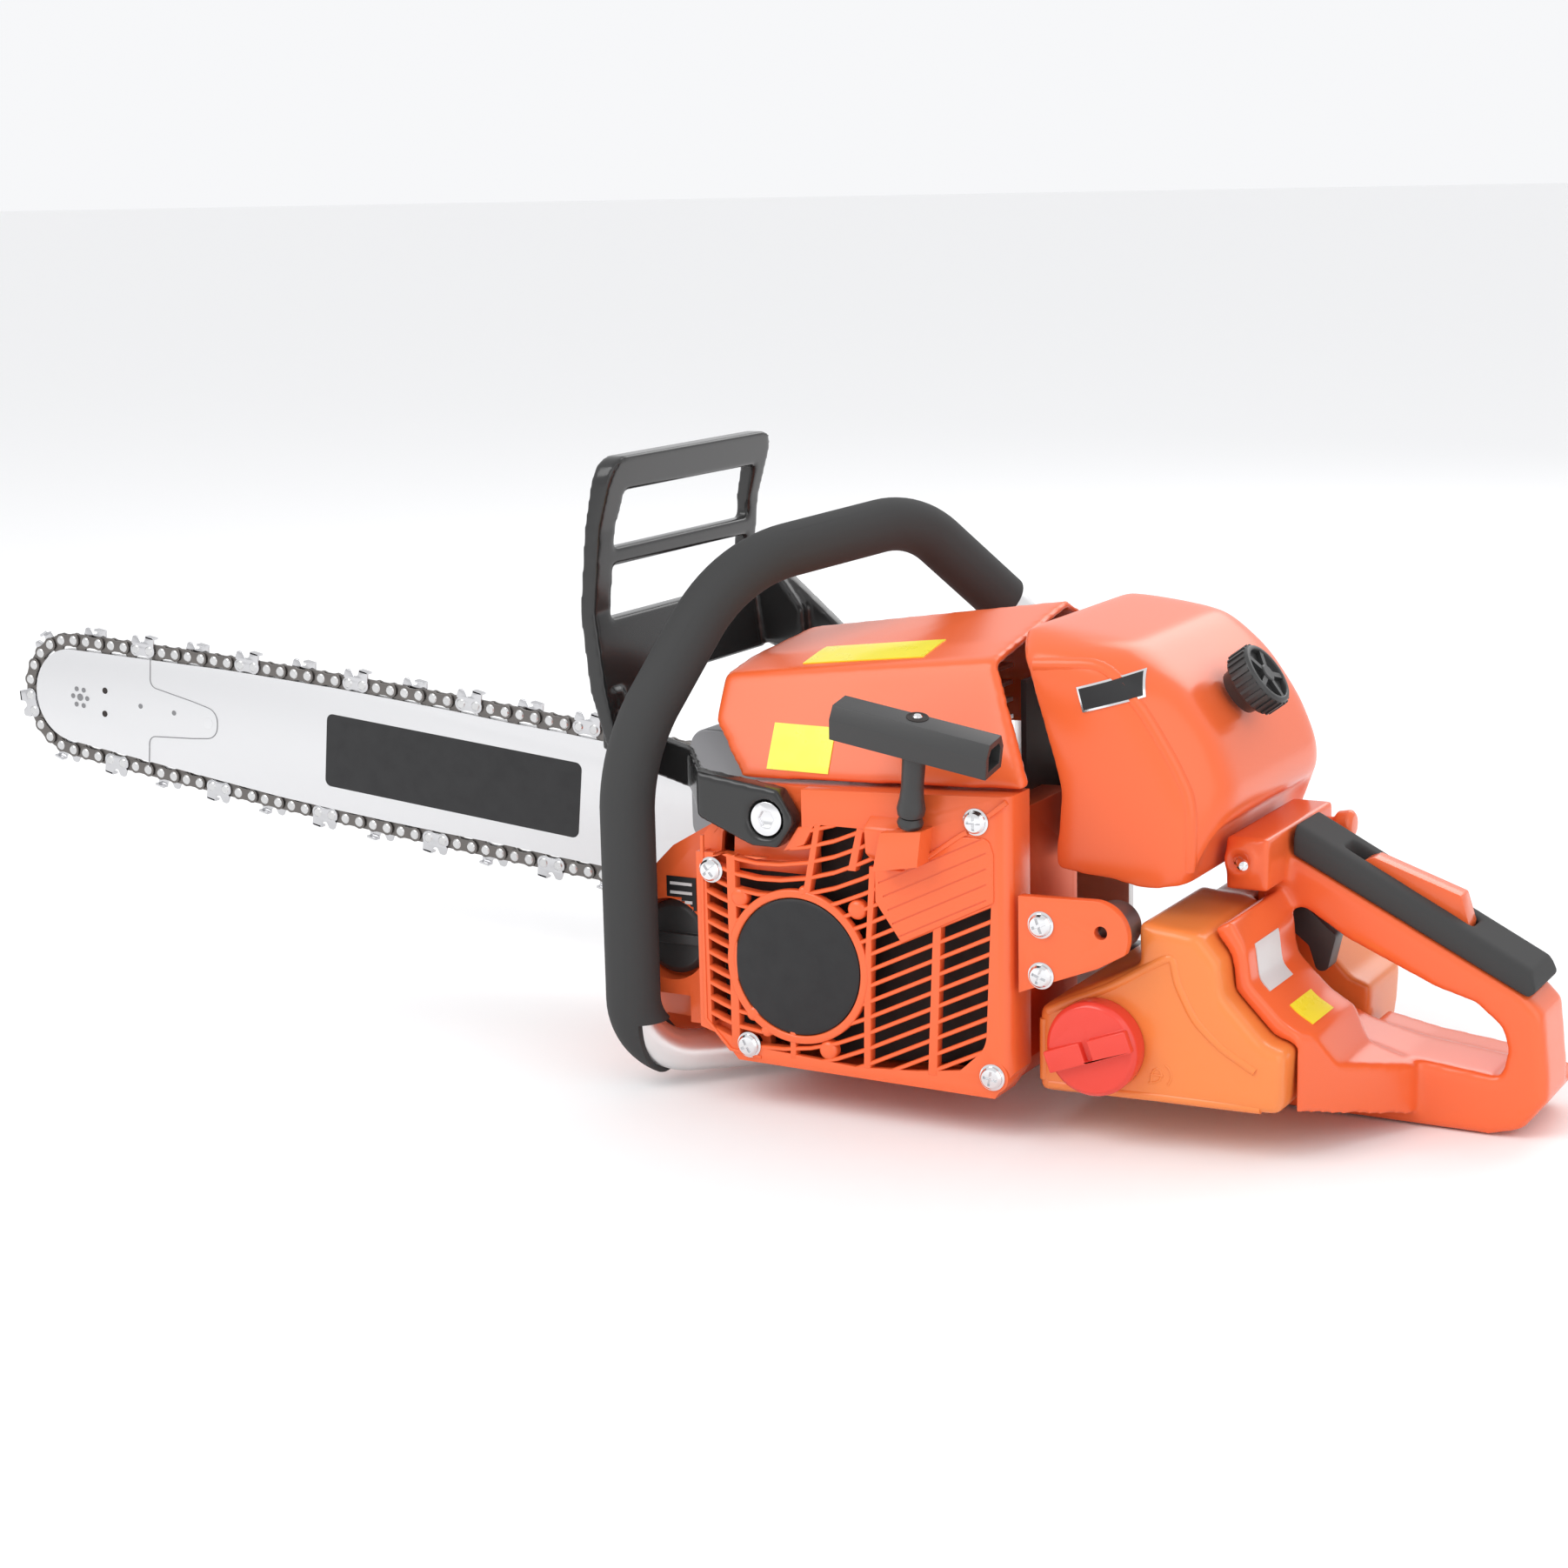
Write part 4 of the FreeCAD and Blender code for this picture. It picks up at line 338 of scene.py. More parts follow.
def repeat_tree():
    """Geometry Nodes: an instance of Prototype on each point, turned by its own attribute, made real."""
    tree = bpy.data.node_groups.get("Repeat On Points")
    if tree:
        return tree
    tree = bpy.data.node_groups.new("Repeat On Points", "GeometryNodeTree")
    tree.interface.new_socket("Geometry", in_out="INPUT", socket_type="NodeSocketGeometry")
    tree.interface.new_socket("Prototype", in_out="INPUT", socket_type="NodeSocketObject")
    tree.interface.new_socket("Scale", in_out="INPUT", socket_type="NodeSocketFloat")
    tree.interface.new_socket("Material", in_out="INPUT", socket_type="NodeSocketMaterial")
    tree.interface.new_socket("Geometry", in_out="OUTPUT", socket_type="NodeSocketGeometry")
    kinds = {"start": "NodeGroupInput", "points": "GeometryNodeMeshToPoints", "source": "GeometryNodeObjectInfo",
             "turn": "GeometryNodeInputNamedAttribute", "place": "GeometryNodeInstanceOnPoints",
             "real": "GeometryNodeRealizeInstances", "paint": "GeometryNodeSetMaterial", "end": "NodeGroupOutput"}
    made = {}
    for i, (word, kind) in enumerate(kinds.items()):
        made[word] = tree.nodes.new(kind)
        made[word].location = (i * 200, 0)
    made["turn"].data_type = "FLOAT_VECTOR"
    made["turn"].inputs["Name"].default_value = "turn"
    made["source"].transform_space = "RELATIVE"
    for (a, out), (b, into) in (
            (("start", "Geometry"), ("points", "Mesh")), (("start", "Prototype"), ("source", "Object")),
            (("points", "Points"), ("place", "Points")), (("source", "Geometry"), ("place", "Instance")),
            (("turn", "Attribute"), ("place", "Rotation")), (("start", "Scale"), ("place", "Scale")),
            (("place", "Instances"), ("real", "Geometry")), (("real", "Geometry"), ("paint", "Geometry")),
            (("start", "Material"), ("paint", "Material")), (("paint", "Geometry"), ("end", "Geometry"))):
        tree.links.new(made[a].outputs[out], made[b].inputs[into])
    return tree


def repeated(name, prototype, places, material, scale=1.0):
    """Copies of a prototype, modelled about the origin, at (point, Euler) places; the prototype is removed."""
    spots = mesh_object(name + "_spots", [place[0] for place in places], [])
    turn = spots.data.attributes.new("turn", "FLOAT_VECTOR", "POINT")
    for item, place in zip(turn.data, places):
        item.vector = place[1]
    tree = repeat_tree()
    nodes = spots.modifiers.new("repeat", "NODES")
    nodes.node_group = tree
    inputs = {item.name: item.identifier for item in tree.interface.items_tree if item.in_out == "INPUT"}
    nodes[inputs["Prototype"]] = prototype
    nodes[inputs["Scale"]] = scale
    nodes[inputs["Material"]] = material
    bpy.context.view_layer.update()
    result = baked(spots, name)
    drop(prototype)
    return result


def aim(direction, spin=0.0):
    """Euler that turns local Z to a direction."""
    turn = Vector((0, 0, 1)).rotation_difference(Vector(direction))
    return (turn.to_matrix() @ Matrix.Rotation(spin, 3, "Z")).to_euler()


# --- Materials ---

def surface(name, base, rough, metal=0.0, bump=0.15, grain=0.7, stretch=(1, 1, 1), coat=0.0, drift=0.06,
            spread=0.12, glow=0.0, clear=0.0):
    """A procedural material: grain in relief, slow drift of the colour, and wear in the roughness."""
    if name in bpy.data.materials:
        return bpy.data.materials[name]
    material = bpy.data.materials.new(name)
    material.use_nodes = True
    tree = material.node_tree
    shader = tree.nodes["Principled BSDF"]
    shader.inputs["Metallic"].default_value = metal
    shader.inputs["Coat Weight"].default_value = coat
    shader.inputs["Coat Roughness"].default_value = 0.12
    shader.inputs["Subsurface Weight"].default_value = glow
    shader.inputs["Subsurface Scale"].default_value = 4 * MM
    shader.inputs["Transmission Weight"].default_value = clear
    shader.inputs["IOR"].default_value = 1.5
    place = tree.nodes.new("ShaderNodeTexCoord")
    frame_map = tree.nodes.new("ShaderNodeMapping")
    frame_map.inputs["Scale"].default_value = stretch
    tree.links.new(place.outputs["Object"], frame_map.inputs["Vector"])

    def noise(size, detail):
        node = tree.nodes.new("ShaderNodeTexNoise")
        node.inputs["Scale"].default_value = 1 / (size * MM)
        node.inputs["Detail"].default_value = detail
        tree.links.new(frame_map.outputs["Vector"], node.inputs["Vector"])
        return node

    fine, slow = noise(grain, 4), noise(38, 3)
    scuff = noise(9, 8)
    tint = tree.nodes.new("ShaderNodeMix")
    tint.data_type = "RGBA"
    tint.inputs["A"].default_value = (*[c * (1 - drift) for c in base], 1)
    tint.inputs["B"].default_value = (*[min(1, c * (1 + drift)) for c in base], 1)
    tree.links.new(slow.outputs["Fac"], tint.inputs["Factor"])
    tree.links.new(tint.outputs["Result"], shader.inputs["Base Color"])
    wear = tree.nodes.new("ShaderNodeMapRange")
    width = spread * (0.5 + settings().wear)
    wear.inputs["From Min"].default_value = 0.35
    wear.inputs["From Max"].default_value = 0.7
    wear.inputs["To Min"].default_value = max(0.02, rough - width / 2)
    wear.inputs["To Max"].default_value = min(1, rough + width)
    tree.links.new(scuff.outputs["Fac"], wear.inputs["Value"])
    tree.links.new(wear.outputs["Result"], shader.inputs["Roughness"])
    relief = tree.nodes.new("ShaderNodeBump")
    relief.inputs["Strength"].default_value = bump
    relief.inputs["Distance"].default_value = 0.12 * MM
    tree.links.new(fine.outputs["Fac"], relief.inputs["Height"])
    tree.links.new(relief.outputs["Normal"], shader.inputs["Normal"])
    return material


def paint(slot):
    """The material of a record slot, or of one of the extra surfaces."""
    colours = settings()
    grain = colours.grain / MM
    shell = tuple(colours.shell)
    black = tuple(colours.black)
    recipes = {
        "shell_orange": dict(base=shell, rough=0.24, coat=0.45, bump=0.05, grain=grain),
        "case_orange": dict(base=shell, rough=0.34, coat=0.2, bump=0.25, grain=1.3),
        "orange_plastic": dict(base=shell, rough=0.3, coat=0.2, bump=0.06, grain=grain),
        "orange_knurl": dict(base=shell, rough=0.38, coat=0.1, bump=0.7, grain=1.4),
        "tank_amber": dict(base=tuple(colours.tank), rough=0.2, coat=0.4, bump=0.04, grain=2, glow=0.55, clear=0.12,
                           drift=0.22),
        "cap_red": dict(base=tuple(colours.cap), rough=0.25, coat=0.3, bump=0.05),
        "black_gloss": dict(base=black, rough=0.14, coat=0.7, bump=0.03, grain=2),
        "black_satin": dict(base=black, rough=0.42, bump=0.2),
        "grip_rubber": dict(base=tuple(c * 1.7 for c in black), rough=0.62, bump=0.35, grain=0.5),
        "tube_aluminium": dict(base=(0.72, 0.73, 0.74), rough=0.3, metal=1, bump=0.1, stretch=(0.2, 1, 1)),
        "cast_aluminium": dict(base=(0.52, 0.52, 0.52), rough=0.5, metal=1, bump=0.5, grain=1.1),
        "bar_steel": dict(base=(0.52, 0.53, 0.54), rough=0.4, metal=0.75, bump=0.22, grain=0.6,
                          stretch=(0.12, 1, 1), drift=0.03),
        "chain_steel": dict(base=(0.03, 0.028, 0.027), rough=0.36, metal=0.8, bump=0.25, grain=0.5, spread=0.25),
        "rivet_steel": dict(base=(0.6, 0.6, 0.6), rough=0.28, metal=1, bump=0.15, grain=0.5, spread=0.2),
        "cutter_chrome": dict(base=(0.075, 0.073, 0.072), rough=0.33, metal=0.9, bump=0.12, grain=0.5, spread=0.2),
        "bolt_chrome": dict(base=(0.74, 0.74, 0.76), rough=0.16, metal=1, bump=0.08),
        "dark_steel": dict(base=(0.13, 0.13, 0.135), rough=0.4, metal=0.9, bump=0.2),
        "filter_felt": dict(base=(0.7, 0.66, 0.55), rough=0.9, bump=0.8, grain=0.9),
        "rope_cord": dict(base=(0.75, 0.74, 0.7), rough=0.8, bump=0.8, grain=0.6),
        "label_yellow": dict(base=tuple(colours.sticker), rough=0.3, coat=0.3, bump=0.03, drift=0.02),
        "label_white": dict(base=(0.62, 0.63, 0.63), rough=0.35, coat=0.2, bump=0.03, drift=0.02),
        "label_black": dict(base=(0.008, 0.008, 0.009), rough=0.5, bump=0.03),
        # Painted shade: a near-black that stands for the shade inside holes and hollows.
        "hollow_dark": dict(base=(0.02, 0.014, 0.012), rough=0.7, bump=0.2),
    }
    return surface(slot, **recipes[slot])


def own_slot(node):
    return {entry["node"]: entry["material_slot"] for entry in frame["record"]["subparts"]}[node]


def dress(node, edge=0.0, segments=3, angle=28, material=None):
    """Show a CAD node itself, or with an edge radius a rounded copy that stands for it."""
    coat = material or paint(own_slot(node))
    if not edge:
        mesh = frame["nodes"][node].data
        mesh.materials.clear()
        mesh.materials.append(coat)
        shown.add(node)
        return None
    body = next(name for name, members in frame["record"]["behaviour"]["bodies"].items() if node in members)
    return settle(rounded(clean_copy(node), edge * MM, segments, angle), coat, node, body)


# --- Chain ---

def islands(node):
    """Centre of each separate solid in a CAD node, in metres."""
    mesh = frame["nodes"][node].data
    work = bmesh.new()
    work.from_mesh(mesh)
    bmesh.ops.remove_doubles(work, verts=work.verts, dist=0.005 * MM)
    left, centres = set(work.verts), []
    while left:
        stack, group = [left.pop()], []
        while stack:
            vert = stack.pop()
            group.append(vert.co)
            for edge in vert.link_edges:
                other = edge.other_vert(vert)
                if other in left:
                    left.remove(other)
                    stack.append(other)
        low = Vector([min(co[k] for co in group) for k in range(3)])
        high = Vector([max(co[k] for co in group) for k in range(3)])
        centres.append((low + high) / 2)
    work.free()
    return centres


def in_turn(spots):
    """Spots along a closed chain, each followed by its nearest."""
    left = sorted(spots, key=lambda spot: spot.x)
    walk = [left.pop(0)]
    while left:
        after = min(left, key=lambda spot: (spot - walk[-1]).length)
        left.remove(after)
        walk.append(after)
    return walk


def link_places(pairs, y=None):
    """Place and turn of a link between two rivets: its local X runs from the first to the second."""
    places = []
    for first, second in pairs:
        middle = (first + second) / 2
        if y is not None:
            middle = Vector((middle.x, y, middle.z))
        run = second - first
        places.append((middle, Euler((0, math.atan2(-run.z, run.x), 0))))
    return places


def side_plate(name, half, chain, low, high, top=None):
    """A waisted side plate between two rivets; top is an outline that rises from it."""
    rise, waist = chain.plate_half / MM, chain.waist / MM
    points = top or []
    if not top:
        points = [Vector((half * 0.4, waist)), Vector((-half * 0.4, waist))]
    left = [Vector((-half + rise * math.cos(math.radians(a)), rise * math.sin(math.radians(a))))
            for a in range(90, 271, 20)]
    right = [Vector((half + rise * math.cos(math.radians(a)), rise * math.sin(math.radians(a))))
             for a in range(-90, 91, 20)]
    lower = [Vector((-half * 0.4, -waist)), Vector((half * 0.4, -waist))]
    if top:
        left = left[3:]
        right = right[:-3]
    return outline_plate(name, [left + lower + right + points], low, high, chain.edge / MM)


class CHAINSAW_OT_chain(bpy.types.Operator):
    """Drive links, side plates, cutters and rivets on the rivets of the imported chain"""
    bl_idname = "chainsaw.chain"
    bl_label = "Chain"

    def execute(self, context):
        chain = context.scene.chainsaw_chain
        rivets = in_turn(islands("chain_rivets"))
        drives = islands("chain_drive_links")
        cutters = islands("chain_cutters")
        middle_y = sum(spot.y for spot in rivets) / len(rivets)
        count = len(rivets)
        pairs = [(rivets[i], rivets[(i + 1) % count]) for i in range(count)]
        half = sum((b - a).length for a, b in pairs) / count / 2 / MM

        def nearest(pair, spots):
            return min(((pair[0] + pair[1]) / 2 - spot).xz.length for spot in spots)

        odd = nearest(pairs[0], drives) > nearest(pairs[1], drives)
        drive_pairs, strap_pairs = pairs[int(odd)::2], pairs[1 - int(odd)::2]
        clockwise = sum((a.x * b.z - b.x * a.z) for a, b in pairs) < 0
        if not clockwise:
            drive_pairs = [(b, a) for a, b in drive_pairs]
            strap_pairs = [(b, a) for a, b in strap_pairs]
        self.drive_links(chain, half, link_places(drive_pairs))
        near_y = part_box("chain_tie_straps")[0].y
        far_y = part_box("chain_tie_straps")[1].y
        thick = 1.3
        left, right, left_cut, right_cut = [], [], [], []
        for pair in strap_pairs:
            middle = (pair[0] + pair[1]) / 2
            close = min(cutters, key=lambda spot: (middle - spot).xz.length)
            has_cutter = (middle - close).xz.length < 5 * MM
            on_left = close.y < middle_y
            (left_cut if has_cutter and on_left else left).append(pair)
            (right_cut if has_cutter and not on_left else right).append(pair)
        plate = side_plate("tie_strap", half, chain, 0, thick)
        other = plate.copy()
        other.data = plate.data.copy()
        link(other)
        steel = paint("chain_steel")
        straps = joined("chain_straps_look",
                        repeated("straps_left", plate, link_places(left, near_y), steel),
                        repeated("straps_right", other, link_places(right, far_y - thick * MM), steel))
        settle(straps, steel, "chain_tie_straps")
        self.cutters(chain, half, link_places(left_cut, near_y), link_places(right_cut, far_y - thick * MM),
                     thick)
        self.rivets(chain, rivets, near_y, far_y)
        return {"FINISHED"}

    def drive_links(self, chain, half, places):
        rise = chain.plate_half / MM - 0.3
        points = polygon("{0}, {1}, 1; -{0}, {1}, 1; -{2}, 0; -{2}, -2, 1; -4, -4.4; -2.6, -7.2; -0.6, -9, 0.6;"
                         "2.4, -8.6, 0.8; 3.4, -4.6; {2}, -2, 1; {2}, 0".format(half + 0.6, rise,
                                                                               half + rise - 0.8))
        shape = outline_plate("drive_link", [points], -0.75, 0.75, 0.2)
        settle(repeated("chain_drive_look", shape, places, paint("chain_steel")), None, "chain_drive_links")

    def cutters(self, chain, half, near, far, thick):
        cut, gauge = chain.cutter / MM, chain.gauge / MM
        top = polygon("{0}, 3.2; {0}, {1}, 1.2; 2.6, {2}, 0.5; 1.6, 5.2, 1.2; -1.2, 4.4, 1.2; -3.4, {3}, 0.8;"
                      "-6.8, {4}, 1.6; -8.4, 3, 1".format(half + 3.6, cut - 0.7, cut, gauge - 0.6, gauge))
        rows = []
        for side, places, y in (("near", near, 0), ("far", far, thick - 4.4)):
            plate = side_plate("cutter_plate", half, chain, 0, thick, top)
            blade = outline_plate("cutter_top", [polygon("{0}, {1}; {0}, {2}; 2.4, {3}; 2.2, {4}".format(
                half + 3.6, cut - 1.8, cut - 0.75, cut, cut - 1.2))], y, y + 4.4, 0.12)
            rows.append(repeated("cutters_" + side, joined("cutter_" + side, plate, blade), places,
                                 paint("cutter_chrome")))
        settle(joined("chain_cutters_look", *rows), None, "chain_cutters")

    def rivets(self, chain, rivets, near_y, far_y):
        half = (far_y - near_y) / 2 / MM
        head = chain.rivet_head / MM
        out = half + 0.6
        profile = [(0.9, -out), (head * 0.75, -out + 0.05), (head, -half + 0.1), (1.9, -half + 0.15),
                   (1.9, half - 0.15), (head, half - 0.1), (head * 0.75, out - 0.05), (0.9, out)]
        pin = turned("rivet", profile, (0, 0, 0), (0, 1, 0), 14)
        middle = (near_y + far_y) / 2
        places = [(Vector((spot.x, middle, spot.z)), Euler((0, 0, 0))) for spot in rivets]
        settle(repeated("chain_rivets_look", pin, places, paint("rivet_steel")), None, "chain_rivets")


# --- Guide bar ---

class CHAINSAW_OT_bar(bpy.types.Operator):
    """Laminated bar with its nose inlay, rivets and a blank printed field"""
    bl_idname = "chainsaw.bar"
    bl_label = "Guide bar"

    def execute(self, context):
        dress("guide_bar", 0.35, 2)
        dress("nose_sprocket")
        turn = Matrix.Translation((0, 0, CRANK_Z * MM)) @ Matrix.Rotation(math.radians(BAR_TILT), 4, "Y")
        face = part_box("guide_bar")[0].y / MM

        field = polygon("-394, -16, 4; -224, -16, 4; -224, 26, 4; -394, 26, 4")
        plate = outline_plate("bar_field", [field], face - 0.12, face + 0.05)
        plate.data.transform(turn)
        settle(plate, paint("label_black"))
        for rivet in ring(-575, 6, 5.4, 6):
            self.spot(turn, rivet.x, face, rivet.y, 1.5, "dark_steel")
        # The two near-black spots are painted shade over the bar's holes.
        for x, z, radius, coat in ((-575, 6, 2.2, "dark_steel"), (-556, 13, 1.9, "hollow_dark"),
                                   (-556, -1, 1.9, "hollow_dark"), (-529, 8, 1.5, "dark_steel"),
                                   (-504, 8, 1.5, "dark_steel"), (-479, 6, 3.4, "bar_steel")):
            self.spot(turn, x, face, z, radius, coat)
        run = polygon("-522, 38; -522, 21, 5; -490, 17, 6; -472, 14, 8; -472, -2, 8; -490, -5, 6; -522, -9, 5;"
                      "-522, -28")
        seam = tube("bar_nose_seam", [turn @ (Vector((p.x, face, p.y)) * MM) for p in run], 0.3)
        settle(seam, paint("dark_steel"))
        return {"FINISHED"}

    def spot(self, turn, x, face, z, radius, coat):
        """A rivet, or a near-black disc of painted shade over a hole, on the bar's left face."""
        button = turned("bar_spot", [(radius, -0.05), (radius, 0.12), (radius * 0.7, 0.22)], (x, face, z), LEFT,
                        24)
        button.data.transform(turn)
        settle(button, paint(coat))


# --- Starter side ---

FACE = -118
SLAT_PITCH = 7.3
BADGE_Z = 70
SLAT_RUN = (-58, -46, -40, -36, -30, -20, -8, 6, 20, 34, 60, 110)


def slat_height(x):
    """How far a slat has risen at x: down to the right at the front, level below the guard, then up."""
    if x < -18:
        return 0.008 * (x + 18) ** 2
    if x < 34:
        return 0.0046 * (x + 18) ** 2
    return 12.44 + 0.478 * (x - 34)


def cut_to(obj, outlines, low, high, operation="INTERSECT"):
    """Keep only the part of obj inside outlines, or with DIFFERENCE only the part outside."""
    return carved(obj, outline_plate(obj.name + "_tool", outlines, low, high), operation=operation)


class CHAINSAW_OT_housing(bpy.types.Operator):
    """Starter housing with its curved slats, ribs, grooved panel, badge seat and rope seat"""
    bl_idname = "chainsaw.housing"
    bl_label = "Starter housing"

    def execute(self, context):
        shape = context.scene.chainsaw_housing
        orange = paint("shell_orange")
        opening = polygon("-47, 117; -33, 121; -20, 119; -5, 122; 6, 136; 14, 138; 36, 138; 41, 122; 41, 106;"
                          "54, 88; 98, 109; 95, 43, 14; 82, 31; 60, 28; 30, 26; -20, 29; -34, 31; -46, 36")
        body = cut_to(clean_copy("starter_housing"), [opening], FACE - 1, FACE + 7, "DIFFERENCE")
        pocket = polygon("-43, 119; -36, 119; -35.5, 128, 2.5; -38, 131, 3; -42, 129, 3")
        body = cut_to(body, [pocket], FACE - 1, FACE + 12, "DIFFERENCE")
        body = rounded(body, shape.edge, 3, 30)
        slats = self.slats(shape, opening)
        ribs = [self.rib(name, text) for name, text in (
            ("front_rib", "-36, 119; -31.5, 120; -31, 28; -35.5, 29"),
            ("slant_rib", "10.5, 138; 13.5, 138; 7, 104; 3.5, 104"),
            ("middle_rib", "38, 121; 41.5, 121; 38.5, 88; 37, 26; 33.5, 26; 34.5, 70"),
            ("low_rib", "-4.5, 40; -1.5, 40; -1.5, 26; -4.5, 26"),
            ("rear_rib", "69.5, 98; 73.5, 99; 70.5, 27; 66, 27"),
            ("arc_rib", "32, 138; 35.5, 138; 31, 118; 27, 118"),
            ("slot_bridge", "5, 128; 10, 137; 2, 136; -6, 124"))]
        seat = outline_plate("badge_seat", [ring(0, BADGE_Z, 36.5, 96), ring(0, BADGE_Z, 32.6, 96)], FACE - 0.6,
                             FACE + 4, 0.9)
        back = outline_plate("badge_back", [ring(0, BADGE_Z, 34, 64)], FACE + 2.8, FACE + 4.4)
        edge = polygon("41, 121, 2; 55, 121; 66, 126; 84, 139, 2; 97, 139, 4; 99.5, 132; 99.5, 110, 2; 54, 87;"
                       "41, 105, 2")
        panel = outline_plate("grooved_panel", [edge], FACE - 0.9, FACE + 3, 0.8)
        grooves = []
        for i in range(5):
            z = 121.5 - i * 7.1
            grooves.append(outline_plate("groove", [[Vector(p) for p in (
                (43 + i * 2.2, z - 7 + i), (96, z + 18.5), (96, z + 17.7), (43 + i * 2.2, z - 7.8 + i))]],
                FACE - 2, FACE - 0.45))
        panel = carved(panel, *grooves)
        domes = [turned("dome", [(r, -3), (r, 0), (r * 0.93, 0.9), (r * 0.7, 1.7), (r * 0.35, 2.1)],
                        (x, FACE + 1.2, z), LEFT, 32)
                 for x, z, r in ((-30, 100, 4.6), (31, 100, 4.6), (15, 32, 4.6), (-24, 45, 3.6), (-17, 37.5, 3),
                                 (3.8, 106, 2.6))]
        ridges = [self.bar("ridge", ((56, 122), (66, 127), (84, 139.5), (87, 141)), 2.2, 1.3),
                  self.bar("rear_ridge", ((97, 149), (106, 156)), 2.2, 1.3)]
        ridges.append(self.bar("front_ridge", ((-48.5, 128), (-49, 90), (-49, 40), (-36, 26.5), (-20, 24.5)),
                               1.6, 0.8))
        housing = joined("starter_housing_look", body, slats, seat, back, panel, *ribs, *domes, *ridges,
                         self.pedestal())
        settle(housing, orange, "starter_housing")
        # Painted shade: a near-black sheet behind the slat opening stands for the shade inside the housing.
        inner = outline_plate("starter_hollow", [opening], FACE + 15, FACE + 15.4)
        settle(inner, paint("hollow_dark"))
        dress("starter_badge", 0.3, 2, material=paint("label_black"))
        return {"FINISHED"}

    def slats(self, shape, opening):
        half = shape.slat / MM / 2
        points, faces = [], []
        for x in SLAT_RUN:
            slope = slat_height(x + 0.5) - slat_height(x - 0.5)
            rise = slat_height(x)
            spread = half * math.sqrt(1 + slope * slope)
            for y, thick in ((FACE + 5.5, -0.55), (FACE + 0.5, -0.75), (FACE - 0.1, -0.45), (FACE - 0.1, 0.45),
                             (FACE + 0.5, 0.75), (FACE + 5.5, 0.55)):
                points.append((x * MM, y * MM, (rise + spread * thick) * MM))
        for i in range(len(SLAT_RUN) - 1):
            for k in range(6):
                j = (k + 1) % 6
                faces.append((i * 6 + k, i * 6 + j, (i + 1) * 6 + j, (i + 1) * 6 + k))
        last = (len(SLAT_RUN) - 1) * 6
        faces += [tuple(reversed(range(6))), tuple(range(last, last + 6))]
        prototype = mesh_object("slat", points, faces)
        places = [((0, 0, (22 + (i - 5) * SLAT_PITCH) * MM), (0, 0, 0)) for i in range(shape.slats + 8)]
        run = repeated("slats", prototype, places, paint("shell_orange"))
        outward(run)
        run.data.materials.clear()
        run = cut_to(run, [opening], FACE - 1, FACE + 9)
        return cut_to(run, [ring(0, BADGE_Z, 33.5, 96)], FACE - 2, FACE + 9, "DIFFERENCE")

    def rib(self, name, text):
        return outline_plate(name, [polygon(text)], FACE - 0.2, FACE + 5, 0.5)

    def bar(self, name, run, wide, proud):
        """A raised line on the face."""
        upper, lower = [], []
        for i, (x, z) in enumerate(run):
            ahead = Vector(run[min(i + 1, len(run) - 1)]) - Vector(run[max(i - 1, 0)])
            side = Vector((-ahead.y, ahead.x)).normalized() * (wide / 2)
            upper.append(Vector((x, z)) + side)
            lower.append(Vector((x, z)) - side)
        return outline_plate(name, [upper + lower[::-1]], FACE - proud, FACE + 1, 0.4)

    def pedestal(self):
        """Faceted block below the rope handle."""
        top = [(39, -116, 146), (64, -116, 146), (64, -104, 146), (39, -104, 146)]
        rows = [[(38, -117, 124), (58, -117, 121), (58, -105, 121), (38, -105, 124)],
                [(37.5, -122, 128), (54, -123, 126), (66, -106, 128), (37.5, -106, 128)],
                [(38, -124, 140), (54, -125, 140), (65, -106, 143), (38, -106, 142)], top]
        points = [tuple(c * MM for c in point) for row in rows for point in row]
        faces = [tuple(range(4)), tuple(reversed(range(12, 16)))]
        for row in range(3):
            for i in range(4):
                j = (i + 1) % 4
                faces.append((row * 4 + i, (row + 1) * 4 + i, (row + 1) * 4 + j, row * 4 + j))
        block = mesh_object("rope_seat", points, faces)
        return rounded(outward(block), 1.6 * MM, 3, 15)


# --- Moulded shells and their labels ---

def melted(node, cell, rounds):
    """A CAD node with its corners flowed into one another, as a moulding has them. cell in millimetres."""
    obj = clean_copy(node)
    mesh = obj.modifiers.new("cells", "REMESH")
    mesh.mode = "VOXEL"
    mesh.voxel_size = cell * MM
    flow = obj.modifiers.new("flow", "SMOOTH")
    flow.factor = 0.5
    flow.iterations = rounds
    return applied(obj)


def target_of(obj):
    """A search tree of a piece, to lay labels and beads on it."""
    mesh = obj.data
    return BVHTree.FromPolygons([v.co for v in mesh.vertices], [tuple(p.vertices) for p in mesh.polygons])


def landing(tree, start, into):
    """Where a line from a point in millimetres meets a piece, with the outward normal there, in metres."""
    spot, normal, _, _ = tree.ray_cast(Vector(start) * MM, Vector(into).normalized())
    if spot is None:
        raise RuntimeError("nothing lies under the point %s" % (tuple(start),))
    return spot, -normal if normal.dot(Vector(into)) > 0 else normal


